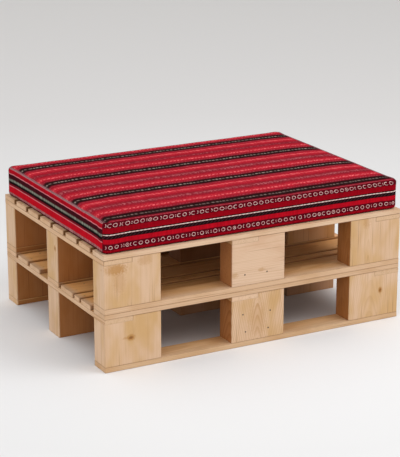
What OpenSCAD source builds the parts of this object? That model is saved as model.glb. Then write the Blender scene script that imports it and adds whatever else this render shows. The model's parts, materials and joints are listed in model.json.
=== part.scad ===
// Pallet ottoman: two timber pallets, one on the other, that carry a loose box cushion.
// Millimetres. X runs along the length, Y from front to back and Z up.
// The origin is on the floor, under the middle of the base.

/* [Pallets] */
// Length of both pallets
pallet_l = 1100; // [1040:10:1300]
// Depth of both pallets
pallet_d = 800; // [760:10:1000]

/* [Boards] */
// Thickness of a bottom board
bottom_board_t = 18; // [14:1:24]
// Thickness of a stringer board
stringer_t = 16; // [12:1:22]
// Thickness of a deck slat
slat_t = 16; // [12:1:22]
// Width of a full deck slat
slat_w = 80; // [60:1:88]
// Width of the lower deck's medium slat
medium_slat_w = 68; // [50:1:75]
// Width of the lower deck's narrow slat
narrow_slat_w = 34; // [25:1:40]
// Width of the lower deck's wide slat
wide_slat_w = 90; // [70:1:95]
// Planed-off corner along the long edges of a board
board_ease = 1.2; // [0.5:0.1:2.5]

/* [Blocks] */
// Length of a block
block_l = 196; // [160:2:240]
// Height of a front or back block, from its bottom board to the slats
block_h = 158; // [110:2:200]
// Depth of the front and back blocks
edge_block_d = 80; // [60:1:88]
// Depth of the middle blocks
mid_block_d = 86; // [64:1:100]
// Set-in of the right-hand middle blocks from the end
mid_block_inset = 26; // [0:1:36]
// Planed-off corner along the upright edges of a block
block_ease = 1; // [0.5:0.1:2.5]
// Gap between a stringer and the notch that it lies in
notch_gap = 0.6; // [0.2:0.1:1.5]

/* [Nails and screws] */
// Diameter of a nail's shank
nail_d = 3.1; // [2.5:0.1:4]
// Diameter of a nail's head
nail_head_d = 7; // [5:0.1:8]
// Thickness of a nail's head
nail_head_t = 1.2; // [0.8:0.1:1.8]
// Depth of a driven head below the face of the wood
nail_set = 0.4; // [0.2:0.1:1]
// Reach of a long nail past the boards, into a block
nail_reach = 38; // [20:1:60]
// Wood left between the tip of a short nail or screw and the far face
tip_cover = 3; // [1:0.5:5]
// Diameter of the heads on the faces of the middle blocks
face_nail_head_d = 4.6; // [3.5:0.1:6]
// Length of a nail in the face of a block
face_nail_l = 45; // [25:1:55]
// Diameter of a tier screw's shank
screw_d = 4; // [3:0.1:5]
// Diameter of a tier screw's head
screw_head_d = 8; // [7:0.1:10]
// Height of a tier screw's countersunk head
screw_head_h = 3; // [2:0.1:4]

/* [Cushion] */
// Set-in of the cushion from the pallet's ends
cushion_end_inset = 4; // [0:1:30]
// Set-in of the cushion from the pallet's long sides
cushion_side_inset = 6; // [0:1:30]
// Height of the cushion at its edges
cushion_h = 101; // [70:1:150]
// Rise of the cushion's top over its edges
crown_h = 5; // [2:0.5:15]
// Radius of the cushion's upright corners
cushion_corner_r = 26; // [20:1:60]
// Radius of the cushion's top edge
top_edge_r = 12; // [6:0.5:18]
// Radius of the cushion's bottom edge
bottom_edge_r = 14; // [6:0.5:18]
// Draw-in of the sides between the corners
side_draw = 3; // [1:0.5:8]
// Length beside each corner in which a side draws in
draw_run = 40; // [20:1:50]
// Thickness of the cover's cloth
cover_t = 1.5; // [0.8:0.1:3]

/* [Zip] */
// Length of the zip in the back of the cover
zip_l = 760; // [400:10:760]
// Width of the zip's tape that shows
tape_w = 12; // [10:0.5:18]
// Width of the zip's coil
coil_w = 4.4; // [3:0.1:6]
// Height of the zip's coil over its tape
coil_h = 1.6; // [1:0.1:2.5]
// Length of an end stop
stop_l = 4; // [2:0.5:6]
// Length of the slider
slider_l = 15; // [12:0.5:20]
// Width of the slider at its wide end
slider_w = 10; // [9:0.5:12]
// Thickness of the slider's plate
slider_plate_t = 1.4; // [1:0.1:2]
// Running gap round the coil, the bail and the pull's bar
zip_gap = 0.3; // [0.2:0.05:0.4]
// Length of the pull
pull_l = 26; // [18:1:40]
// Width of the pull
pull_w = 6; // [5.5:0.1:8]
// Thickness of the pull
pull_t = 1.2; // [0.8:0.1:1.6]
// Thickness of the slider's bail
bail_t = 1; // [0.8:0.1:1.2]
// Width of the slider's bail
bail_w = 2.2; // [1.5:0.1:2.5]

/* [Hidden] */
TIERS = ["lower", "upper"];
ROWS = ["front", "middle", "back"];
COLUMNS = ["left", "middle", "right"];
SLATS = 8;
// Rows of blocks that stand on a bottom board
BOARD_ROWS = [0, 2];

// Overrun of a cut past the face it opens in
over = 1;
round_fn = 32;
pine = [0.84, 0.68, 0.52];
steel = [0.42, 0.41, 0.40];
red_cloth = [0.72, 0.08, 0.13];
foam_yellow = [0.93, 0.90, 0.78];
zip_black = [0.10, 0.09, 0.09];

// Heights in a tier, from its own floor
tier_h = bottom_board_t + block_h + slat_t;
slat_z = bottom_board_t + block_h;
stringer_z = slat_z - stringer_t;
deck_top = 2 * tier_h;

// Places along the length
stringer_w = block_l / 2 - notch_gap;
column_x = [-(pallet_l - block_l) / 2, 0, (pallet_l - block_l) / 2];
stringer_x = [(stringer_w - pallet_l) / 2, (stringer_w - block_l) / 2, (pallet_l - stringer_w) / 2];
notch_l = block_l / 2 + over;
notch_x = [-pallet_l / 2 - over, -block_l / 2 - over, (pallet_l - block_l) / 2];
bay_x = (column_x[1] + column_x[2]) / 2;
bay_l = column_x[2] - column_x[1] - block_l;

// Places from front to back
row_y = [-(pallet_d - edge_block_d) / 2, 0, (pallet_d - edge_block_d) / 2];
row_d = [edge_block_d, mid_block_d, edge_block_d];
slat_pitch = (pallet_d - slat_w) / (SLATS - 1);
upper_deck = [for (i = [0:SLATS - 1]) [-(pallet_d - slat_w) / 2 + i * slat_pitch, slat_w]];

// The lower deck keeps the upper deck's first slat and its last three. Between the first
// and the middle one lie slats of three widths, with gaps that share what is left.
bay_widths = [medium_slat_w, narrow_slat_w, wide_slat_w];
gap_shares = [0.33, 0.20, 0.19, 0.28];
bay_start = -pallet_d / 2 + slat_w;
bay_spare = -mid_block_d / 2 - bay_start - total(bay_widths, 2);
lower_deck = concat(
    [upper_deck[0]],
    [for (i = [0:2]) [bay_start + bay_spare * total(gap_shares, i) + total(bay_widths, i) - bay_widths[i] / 2,
                      bay_widths[i]]],
    [[0, mid_block_d]],
    [for (i = [SLATS - 3:SLATS - 1]) upper_deck[i]]);
decks = [lower_deck, upper_deck];

// Nails stand in from the middle of a crossing by these shares of its sides
nail_share = 0.25;
block_nail_share = 0.32;
// Face nails of a middle block, as shares of its length and height
face_nail_shares = [
    [[0.21, 0.586], [0.734, 0.575], [0.262, 0.2], [0.698, 0.2]],
    [[0.242, 0.226], [0.663, 0.218]]];
// Tier screws stand this share of a bay to each side of its middle
screw_share = 0.28;
head_seat = nail_set + nail_head_t;

// The cushion's outline, and rings that follow its edges
cushion_half_l = pallet_l / 2 - cushion_end_inset;
cushion_half_d = pallet_d / 2 - cushion_side_inset;
arc_steps = 5;
// Where a side turns within its draw-in, and how far it is drawn in there
draw_place_shares = [0.3, 1];
draw_depth_shares = [0.45, 1];
edge_angles = [0, 22.5, 45, 67.5, 90];
seam_angle = 45;
field_shares = [0.96, 0.88, 0.7, 0.4];
crown_power = 3;

// The zip lies in the flat of the cover's back, at half height
zip_y = cushion_half_d - side_draw;
zip_z = deck_top + cushion_h / 2;
slider_x = zip_l / 2 - stop_l - zip_gap - slider_l / 2;
slider_top = coil_h + zip_gap + slider_plate_t;
slider_tail_w = coil_w + 2 * (zip_gap + slider_plate_t);
tunnel_w = coil_w + 2 * zip_gap;
bar_r = pull_t / 2;
bar_z = slider_top + zip_gap + bar_r;
bail_inner = bar_r + zip_gap;
bail_outer = bail_inner + bail_t;
eye_w = bail_w + 2 * zip_gap;
eye_end = bail_outer * sqrt(2) + zip_gap;
grip_r = pull_w / 5;

function total(list, last) = last < 0 ? 0 : list[last] + total(list, last - 1);

// The x of a block, set in at the right of the middle row
function block_x(r, c) = column_x[c] - (r == 1 && c == 2 ? mid_block_inset : 0);

// The height in its tier at which a block stands: the middle row stands on what carries the pallet
function block_base(r) = r == 1 ? 0 : bottom_board_t;

// Whether a nail at a place in plan goes into a block
function in_block(x, y) = len([for (r = [0:2], c = [0:2])
    if (abs(x - block_x(r, c)) < block_l / 2 - nail_d && abs(y - row_y[r]) < row_d[r] / 2 - nail_d) 1]) > 0;

// Plan places of the nails that hold one slat to the stringers
function slat_nails(slat) = [for (x = stringer_x, side = [-1, 1])
    [x + side * nail_share * stringer_w, slat[0] + side * nail_share * slat[1]]];

// Plan places of the nails that hold one bottom board to its blocks
function board_nails(r) = [for (c = [0:2], across = [-1, 1], along = [-1, 1])
    [block_x(r, c) + along * block_nail_share * block_l, row_y[r] + across * nail_share * row_d[r]]];

// A rectangle, centred, with its four corners cut off
module eased_rectangle(w, d, ease) {
    x = w / 2;
    y = d / 2;
    polygon([[ease - x, -y], [x - ease, -y], [x, ease - y], [x, y - ease],
             [x - ease, y], [ease - x, y], [-x, y - ease], [-x, ease - y]]);
}

// A board of length l, width w and thickness t that lies along X, on z = 0
module board(l, w, t) {
    translate([0, 0, t / 2])
        rotate([90, 0, 90])
            linear_extrude(height = l, center = true)
                eased_rectangle(w, t, board_ease);
}

// A nail that points down, with the top of its head at z = 0
module nail(l, head_d) {
    translate([0, 0, -l])
        cylinder(h = l, d = nail_d, $fn = round_fn);
    translate([0, 0, -nail_head_t])
        cylinder(h = nail_head_t, d = head_d, $fn = round_fn);
}

// The seat that a driven head has pressed into a face at z = 0
module head_recess() {
    translate([0, 0, -head_seat])
        cylinder(h = head_seat + over, d = nail_head_d + 2 * notch_gap, $fn = round_fn);
}

module bottom_board(t, r) {
    color(pine)
        translate([0, 0, t * tier_h])
            difference() {
                translate([0, row_y[r], 0])
                    board(pallet_l, row_d[r], bottom_board_t);
                for (p = board_nails(r))
                    translate([p[0], p[1], 0])
                        mirror([0, 0, 1])
                            head_recess();
            }
}

module block(t, r, c) {
    color(pine)
        translate([0, row_y[r], t * tier_h + block_base(r)])
            difference() {
                translate([block_x(r, c), 0, 0])
                    linear_extrude(height = slat_z - block_base(r))
                        eased_rectangle(block_l, row_d[r], block_ease);
                translate([notch_x[c], -row_d[r] / 2 - over, stringer_z - block_base(r)])
                    cube([notch_l, row_d[r] + 2 * over, stringer_t + over]);
            }
}

module stringer(t, c) {
    color(pine)
        translate([stringer_x[c], 0, t * tier_h + stringer_z])
            rotate([0, 0, 90])
                board(pallet_d, stringer_w, stringer_t);
}

module slat(t, i) {
    color(pine)
        translate([0, 0, t * tier_h + slat_z])
            difference() {
                translate([0, decks[t][i][0], 0])
                    board(pallet_l, decks[t][i][1], slat_t);
                for (p = slat_nails(decks[t][i]))
                    translate([p[0], p[1], slat_t])
                        head_recess();
            }
}

// Long nails go on into a block, and short ones stop inside the stringer
module deck_nails(t) {
    color(steel)
        for (slat = decks[t], p = slat_nails(slat))
            translate([p[0], p[1], (t + 1) * tier_h - nail_set])
                nail(slat_t + stringer_t + (in_block(p[0], p[1]) ? nail_reach : -tip_cover), nail_head_d);
}

module bottom_nails(t) {
    color(steel)
        for (r = BOARD_ROWS, p = board_nails(r))
            translate([p[0], p[1], t * tier_h + nail_set])
                mirror([0, 0, 1])
                    nail(bottom_board_t + nail_reach, nail_head_d);
}

// Nails whose heads lie flush in the front of the middle blocks
module block_face_nails() {
    color(steel)
        for (t = [0, 1], s = face_nail_shares[t])
            translate([(s[0] - 1 / 2) * block_l, -pallet_d / 2, t * tier_h + bottom_board_t + s[1] * block_h])
                rotate([90, 0, 0])
                    nail(face_nail_l, face_nail_head_d);
}

// Screws that go up through the lower deck into the upper bottom boards
module tier_screws() {
    color(steel)
        for (r = BOARD_ROWS, bay = [-1, 1], side = [-1, 1])
            translate([bay * bay_x + side * screw_share * bay_l, row_y[r], slat_z]) {
                cylinder(h = screw_head_h, d1 = screw_head_d, d2 = screw_d, $fn = round_fn);
                cylinder(h = slat_t + bottom_board_t - tip_cover, d = screw_d, $fn = round_fn);
            }
}

function corner_arc(x, y, r, start) = [for (i = [0:arc_steps])
    [x + r * cos(start + 90 * i / arc_steps), y + r * sin(start + 90 * i / arc_steps)]];

function draw_in(from, to, inward, i) =
    from + (to - from) / norm(to - from) * draw_run * draw_place_shares[i]
        + inward * side_draw * draw_depth_shares[i];
function side_run(from, to, inward) = [
    draw_in(from, to, inward, 0), draw_in(from, to, inward, 1), (from + to) / 2 + inward * side_draw,
    draw_in(to, from, inward, 1), draw_in(to, from, inward, 0)];

// The cushion's outline, moved in by a distance, anticlockwise from its front left
function outline(inset) =
    let (a = cushion_half_l - inset, b = cushion_half_d - inset, r = cushion_corner_r - inset)
    concat(
        side_run([r - a, -b], [a - r, -b], [0, 1]), corner_arc(a - r, r - b, r, -90),
        side_run([a, r - b], [a, b - r], [-1, 0]), corner_arc(a - r, b - r, r, 0),
        side_run([a - r, b], [r - a, b], [0, -1]), corner_arc(r - a, b - r, r, 90),
        side_run([-a, b - r], [-a, r - b], [1, 0]), corner_arc(r - a, r - b, r, 180));

function lift(points, z) = [for (p = points) [p[0], p[1], z]];

// Rings of a surface that lies wall below the cushion's outside
function top_edge(wall, angle) =
    lift(outline(top_edge_r - (top_edge_r - wall) * cos(angle)),
         cushion_h - top_edge_r + (top_edge_r - wall) * sin(angle));
function bottom_edge(wall, angle) =
    lift(outline(bottom_edge_r - (bottom_edge_r - wall) * cos(angle)),
         bottom_edge_r - (bottom_edge_r - wall) * sin(angle));
function field(wall, share) =
    lift(outline(top_edge_r) * share, cushion_h - wall + crown_h * (1 - pow(share, crown_power)));

function top_edges(wall, low, high) = [for (a = edge_angles) if (a >= low && a <= high) top_edge(wall, a)];
function bottom_edges(wall, low, high) =
    [for (a = edge_angles) if (a >= low && a <= high) bottom_edge(wall, a)];
function fields(wall) = [for (s = field_shares) field(wall, s)];
function reversed(list) = [for (i = [len(list) - 1:-1:0]) list[i]];

// Points of one ring after another, and the triangles between ring i and the next
function flat(rings) = [for (ring = rings, p = ring) p];
function band(i, next, n) = [for (k = [0:n - 1]) each [
    [i * n + k, i * n + (k + 1) % n, next * n + (k + 1) % n],
    [i * n + k, next * n + (k + 1) % n, next * n + k]]];
function fan(i, n, tip, up) = [for (k = [0:n - 1])
    up ? [tip, i * n + (k + 1) % n, i * n + k] : [tip, i * n + k, i * n + (k + 1) % n]];

// A closed skin over rings, from a first middle point above to a last one
module capped_skin(rings, first, last) {
    n = len(rings[0]);
    m = len(rings);
    translate([0, 0, deck_top])
        polyhedron(
            points = concat(flat(rings), [first, last]),
            faces = concat(
                fan(0, n, n * m, true),
                [for (i = [0:m - 2]) each band(i, i + 1, n)],
                fan(m - 1, n, n * m + 1, false)));
}

// A closed skin over rings that come back to the first one
module ring_skin(rings) {
    n = len(rings[0]);
    m = len(rings);
    translate([0, 0, deck_top])
        polyhedron(points = flat(rings), faces = [for (i = [0:m - 1]) each band(i, (i + 1) % m, n)]);
}

// Cloth over the crowned top, down to the upper seam
module cover_top_panel() {
    color(red_cloth)
        capped_skin(
            concat(reversed(fields(0)), reversed(top_edges(0, seam_angle, 90)),
                   top_edges(cover_t, seam_angle, 90), fields(cover_t)),
            [0, 0, cushion_h + crown_h],
            [0, 0, cushion_h + crown_h - cover_t]);
}

// Cloth round the four sides, with a slot for the zip in the back
module cover_border() {
    color(red_cloth)
        difference() {
            ring_skin(concat(
                reversed(top_edges(0, 0, seam_angle)), bottom_edges(0, 0, seam_angle),
                reversed(bottom_edges(cover_t, 0, seam_angle)), top_edges(cover_t, 0, seam_angle)));
            translate([-zip_l / 2, zip_y - cover_t - over, zip_z - tape_w / 2])
                cube([zip_l, cover_t + 2 * over, tape_w]);
        }
}

// Cloth under the cushion, up to the lower seam
module cover_bottom_panel() {
    color(red_cloth)
        capped_skin(
            concat(reversed(bottom_edges(cover_t, seam_angle, 90)), bottom_edges(0, seam_angle, 90)),
            [0, 0, cover_t],
            [0, 0, 0]);
}

// The foam fills the cover
module foam_core() {
    color(foam_yellow)
        capped_skin(
            concat(reversed(fields(cover_t)), reversed(top_edges(cover_t, 0, 90)),
                   bottom_edges(cover_t, 0, 90)),
            [0, 0, cushion_h + crown_h - cover_t],
            [0, 0, cover_t]);
}

// Stands what is drawn with Z out of the cloth on the zip, at a place along it
module on_zip(x) {
    translate([x, zip_y, zip_z])
        rotate([-90, 0, 0])
            children();
}

// Tape in the slot, coil along its middle and a stop at each end
module zip_chain() {
    color(zip_black)
        on_zip(0) {
            translate([-zip_l / 2, -tape_w / 2, -cover_t])
                cube([zip_l, tape_w, cover_t]);
            translate([0, 0, -cover_t / 2])
                rotate([90, 0, 90])
                    linear_extrude(height = zip_l, center = true)
                        polygon([[-coil_w / 2, 0], [coil_w / 2, 0],
                                 [coil_w / 3, coil_h + cover_t / 2], [-coil_w / 3, coil_h + cover_t / 2]]);
            for (side = [-1, 1])
                translate([side * (zip_l - stop_l) / 2, 0, coil_h / 2])
                    cube([stop_l, slider_tail_w, coil_h + slider_plate_t], center = true);
        }
}

// Shield-shaped plate over the coil, with a bail that holds the pull
module zip_slider() {
    color(steel)
        on_zip(slider_x) {
            difference() {
                translate([0, 0, zip_gap])
                    linear_extrude(height = slider_top - zip_gap)
                        polygon([[-slider_l / 2, -slider_tail_w / 2], [0, -slider_tail_w / 2],
                                 [slider_l / 3, -slider_w / 2], [slider_l / 2, -slider_w / 2],
                                 [slider_l / 2, slider_w / 2], [slider_l / 3, slider_w / 2],
                                 [0, slider_tail_w / 2], [-slider_l / 2, slider_tail_w / 2]]);
                translate([-slider_l / 2 - over, -tunnel_w / 2, -over])
                    cube([slider_l + 2 * over, tunnel_w, coil_h + zip_gap + over]);
            }
            translate([0, 0, bar_z])
                difference() {
                    translate([-bail_outer, -bail_w / 2, -bail_outer])
                        cube([2 * bail_outer, bail_w, 2 * bail_outer]);
                    translate([-bail_inner, -bail_w / 2 - over, -bail_inner])
                        cube([2 * bail_inner, bail_w + 2 * over, 2 * bail_inner]);
                }
        }
}

// Tab that hangs on its bar in the bail and lies along the zip
module zip_pull() {
    color(steel)
        on_zip(slider_x)
            translate([0, 0, bar_z]) {
                rotate([90, 0, 0])
                    cylinder(h = pull_w, r = bar_r, center = true, $fn = round_fn);
                translate([0, 0, -pull_t / 2])
                    difference() {
                        union() {
                            translate([pull_w / 2 - pull_l, -pull_w / 2, 0])
                                cube([pull_l - pull_w / 2, pull_w, pull_t]);
                            translate([pull_w / 2 - pull_l, 0, 0])
                                cylinder(h = pull_t, d = pull_w, $fn = round_fn);
                        }
                        translate([-eye_end, -eye_w / 2, -over])
                            cube([eye_end + over, eye_w, pull_t + 2 * over]);
                        translate([pull_w / 2 - pull_l, 0, -over])
                            cylinder(h = pull_t + 2 * over, r = grip_r, $fn = round_fn);
                    }
            }
}

for (t = [0, 1], r = BOARD_ROWS)
    bottom_board(t, r);
for (t = [0, 1], r = [0:2], c = [0:2])
    block(t, r, c);
for (t = [0, 1], c = [0:2])
    stringer(t, c);
for (t = [0, 1], i = [1:SLATS])
    slat(t, i - 1);
for (t = [0, 1]) {
    deck_nails(t);
    bottom_nails(t);
}
block_face_nails();
tier_screws();
cover_top_panel();
cover_border();
cover_bottom_panel();
foam_core();
zip_chain();
zip_slider();
zip_pull();
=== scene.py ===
"""The looks of a pallet ottoman: two stacked pallets under a striped box cushion.

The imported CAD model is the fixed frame. Lengths are metres, unless a name ends in _mm.
"""

import json
import logging
import math
from dataclasses import dataclass
from enum import Enum
from functools import reduce

import bpy
import numpy as np
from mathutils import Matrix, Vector


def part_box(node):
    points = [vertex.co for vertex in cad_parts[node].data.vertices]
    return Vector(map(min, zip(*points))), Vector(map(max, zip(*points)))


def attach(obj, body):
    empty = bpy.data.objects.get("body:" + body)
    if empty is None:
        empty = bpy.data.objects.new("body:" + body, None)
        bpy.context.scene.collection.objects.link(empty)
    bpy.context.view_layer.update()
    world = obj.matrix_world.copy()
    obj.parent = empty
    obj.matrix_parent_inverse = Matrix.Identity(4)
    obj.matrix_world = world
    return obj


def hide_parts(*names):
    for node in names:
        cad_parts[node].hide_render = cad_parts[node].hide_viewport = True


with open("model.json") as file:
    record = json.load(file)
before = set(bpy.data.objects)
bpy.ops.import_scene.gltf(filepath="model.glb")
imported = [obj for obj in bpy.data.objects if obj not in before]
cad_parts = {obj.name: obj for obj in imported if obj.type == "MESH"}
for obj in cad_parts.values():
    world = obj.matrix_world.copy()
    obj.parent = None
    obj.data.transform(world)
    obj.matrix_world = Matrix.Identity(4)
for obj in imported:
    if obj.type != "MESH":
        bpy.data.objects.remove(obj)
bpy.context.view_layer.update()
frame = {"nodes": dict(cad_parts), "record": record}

log = logging.getLogger("ottoman")

MM = 0.001
IN_MM = 1000.0
TURN = 2 * math.pi
HALF_LENGTH, HALF_DEPTH = 0.55, 0.40
FRONT_Y = -HALF_DEPTH
Material, Mesh, Object = bpy.types.Material, bpy.types.Mesh, bpy.types.Object
Socket = bpy.types.NodeSocket
Inputs = dict[str | int, object]
Colour = tuple[float, float, float, float]
Point = tuple[float, float, float]
Stripes = tuple[tuple[float, Colour], ...]


def rgb(*levels: float) -> Colour:
    """Turns a colour as a screen shows it, 0 to 255, into a linear one that is fully opaque."""
    shares = [level / 255 for level in levels]
    return *(s / 12.92 if s <= 0.04045 else ((s + 0.055) / 1.055) ** 2.4 for s in shares), 1.0


class Wire:
    """A node's output. Arithmetic on it adds Math nodes to its graph."""

    def __init__(self, graph: "Graph", socket: Socket) -> None:
        """Holds one output of one graph."""
        self.graph, self.socket = graph, socket

    def __add__(self, other: object) -> "Wire":
        """Adds two numbers."""
        return self.graph.maths("ADD", self, other)

    def __sub__(self, other: object) -> "Wire":
        """Takes another number from this one."""
        return self.graph.maths("SUBTRACT", self, other)

    def __rsub__(self, other: object) -> "Wire":
        """Takes this number from another."""
        return self.graph.maths("SUBTRACT", other, self)

    def __mul__(self, other: object) -> "Wire":
        """Multiplies two numbers."""
        return self.graph.maths("MULTIPLY", self, other)

    def __truediv__(self, other: object) -> "Wire":
        """Divides this number by another."""
        return self.graph.maths("DIVIDE", self, other)

    def __rtruediv__(self, other: object) -> "Wire":
        """Divides another number by this one."""
        return self.graph.maths("DIVIDE", other, self)

    def __abs__(self) -> "Wire":
        """Drops the sign."""
        return self.graph.maths("ABSOLUTE", self)


Coat = tuple[Wire, Colour]


class Graph:
    """A tree of nodes, with one method for each kind of step."""
    family = "ShaderNode"

    def __init__(self, tree: bpy.types.NodeTree) -> None:
        """Takes the tree to fill."""
        self.tree = tree

    def put(self, value: object, socket: Socket) -> None:
        """Links a wire to an input, or sets the input's own value.

        Args:
            value: a wire, a number or a tuple.
            socket: the input that takes it.
        """
        if isinstance(value, Wire):
            self.tree.links.new(value.socket, socket)
        else:
            socket.default_value = value

    def add(self, kind: str, inputs: Inputs | None = None,
            **settings: object) -> bpy.types.Node:
        """Adds a node, sets its properties and fills its inputs.

        Args:
            kind: the node's class name, less the start that this tree's own nodes share.
            inputs: values or wires, by the input's name or place.
            **settings: the properties to set on it.

        Returns:
            The node.
        """
        full = kind if kind.startswith(("ShaderNode", "FunctionNode")) else self.family + kind
        node = self.tree.nodes.new(full)
        for key, value in settings.items():
            setattr(node, key, value)
        for key, value in (inputs or {}).items():
            for one in value if isinstance(value, list) else [value]:
                self.put(one, node.inputs[key])
        return node

    def get(self, kind: str, inputs: Inputs | None = None, output: str | int = 0,
            **settings: object) -> Wire:
        """Adds a node and gives one of its outputs."""
        return Wire(self, self.add(kind, inputs, **settings).outputs[output])

    def maths(self, step: str, *values: object, clamp: bool = False) -> Wire:
        """Adds one arithmetic step; clamp keeps its result between 0 and 1."""
        return self.get("ShaderNodeMath", dict(enumerate(values)), operation=step, use_clamp=clamp)

    def fold(self, step: str, *values: Wire) -> Wire:
        """Joins many numbers by one step, such as MINIMUM."""
        return reduce(lambda a, b: self.maths(step, a, b), values)

    def vector(self, step: str, a: object, b: object) -> Wire:
        """Adds one step between two vectors."""
        return self.get("ShaderNodeVectorMath", {0: a, 1: b}, operation=step)

    def scaled(self, vector: Wire, factor: Wire) -> Wire:
        """Makes a vector or a colour so many times greater."""
        return self.get("ShaderNodeVectorMath", {0: vector, "Scale": factor}, operation="SCALE")

    def length(self, vector: Wire) -> Wire:
        """Measures a vector."""
        return self.get("ShaderNodeVectorMath", {0: vector}, "Value", operation="LENGTH")

    def split(self, vector: Wire) -> list[Wire]:
        """Parts a vector into its three numbers."""
        return [Wire(self, one) for one in self.add("ShaderNodeSeparateXYZ", {0: vector}).outputs]

    def join(self, x: object, y: object, z: object = 0.0) -> Wire:
        """Makes a vector of three numbers."""
        return self.get("ShaderNodeCombineXYZ", {0: x, 1: y, 2: z})

    def backdrop_rays(self) -> Wire:
        """Is 1 for rays from the camera, and for those seen in metal and glass."""
        rays = self.add("LightPath").outputs
        return self.fold("MAXIMUM", *(Wire(self, rays[f"Is {kind} Ray"])
                                      for kind in ("Camera", "Glossy", "Transmission")))


class FinishGraph(Graph):
    """A material's nodes, which end in one shader."""

    def __init__(self, name: str) -> None:
        """Starts an empty material.

        Args:
            name: the material's name.
        """
        self.material = bpy.data.materials.new(name)
        self.material.use_nodes = True
        super().__init__(self.material.node_tree)
        self.tree.nodes.clear()
        self.shader = self.add("BsdfPrincipled")
        self.add("OutputMaterial", {"Surface": Wire(self, self.shader.outputs[0])})

    def here(self) -> Wire:
        """Gives the place on the object, in metres."""
        return self.get("TexCoord", output="Object")

    def mix(self, share: object, a: object, b: object, blend: str = "MIX") -> Wire:
        """Mixes so much of a second colour into a first."""
        return self.get("Mix", {0: share, 6: a, 7: b}, 2, data_type="RGBA", blend_type=blend)

    def coats(self, colour: Wire, coats: list[Coat], blend: str = "MIX") -> Wire:
        """Lays colours over one another, each as strongly as its own wire says."""
        return reduce(lambda under, coat: self.mix(coat[0], under, coat[1], blend), coats, colour)

    def ramp(self, value: Wire, stops: list[tuple[float, Colour]]) -> Wire:
        """Turns a number into a colour.

        Args:
            value: the number, 0 to 1.
            stops: places on the ramp with their colours, in order.

        Returns:
            The colour.
        """
        node = self.add("ValToRGB", {0: value})
        elements = node.color_ramp.elements
        while len(elements) < len(stops):
            elements.new(0.5)
        for element, (place, _) in zip(elements, stops):
            element.position = place
        for element, (_, colour) in zip(elements, stops):
            element.color = colour
        return Wire(self, node.outputs[0])

    def noise(self, vector: Wire, scale: float = 1.0, detail: float = 2.0,
              roughness: float = 0.5) -> Wire:
        """Adds smooth noise about 0.5, with so many lumps to a metre and so many finer layers."""
        return self.get("TexNoise", {"Vector": vector, "Scale": scale, "Detail": detail,
                                     "Roughness": roughness}, noise_dimensions="3D")

    def chance(self, value: Wire, seed: float) -> Wire:
        """Gives each whole number its own even random value, 0 to 1."""
        return self.get("TexWhiteNoise", {"W": value + seed}, noise_dimensions="1D")

    def step(self, value: Wire, low: float, high: float) -> Wire:
        """Rises smoothly from 0 at low to 1 at high, or falls where low is above high."""
        return self.get("MapRange", {0: value, 1: min(low, high), 2: max(low, high),
                                     3: float(low > high), 4: float(low < high)},
                        interpolation_type="SMOOTHSTEP")

    def band(self, value: Wire, centre: float, half: float, soft: float) -> Wire:
        """Is 1 within half of a centre, and fades over twice soft at each side."""
        return self.step(abs(value - centre), half + soft, half - soft)

    def bump(self, height: Wire, depth: float, strength: float) -> None:
        """Tilts the shading by a height, where 1 stands for so many metres."""
        self.put(self.get("Bump", {"Strength": strength, "Distance": depth, "Height": height}),
                 self.shader.inputs["Normal"])

    def surface(self, colour: object, roughness: object, **constants: float) -> Material:
        """Sets the shader's colour, roughness and constant inputs.

        Args:
            colour: the base colour.
            roughness: the roughness.
            **constants: other inputs by name, with _ for each space.

        Returns:
            The finished material.
        """
        values = {"Base Color": colour, "Roughness": roughness} | constants
        for key, value in values.items():
            self.put(value, self.shader.inputs[key.replace("_", " ")])
        return self.material


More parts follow.
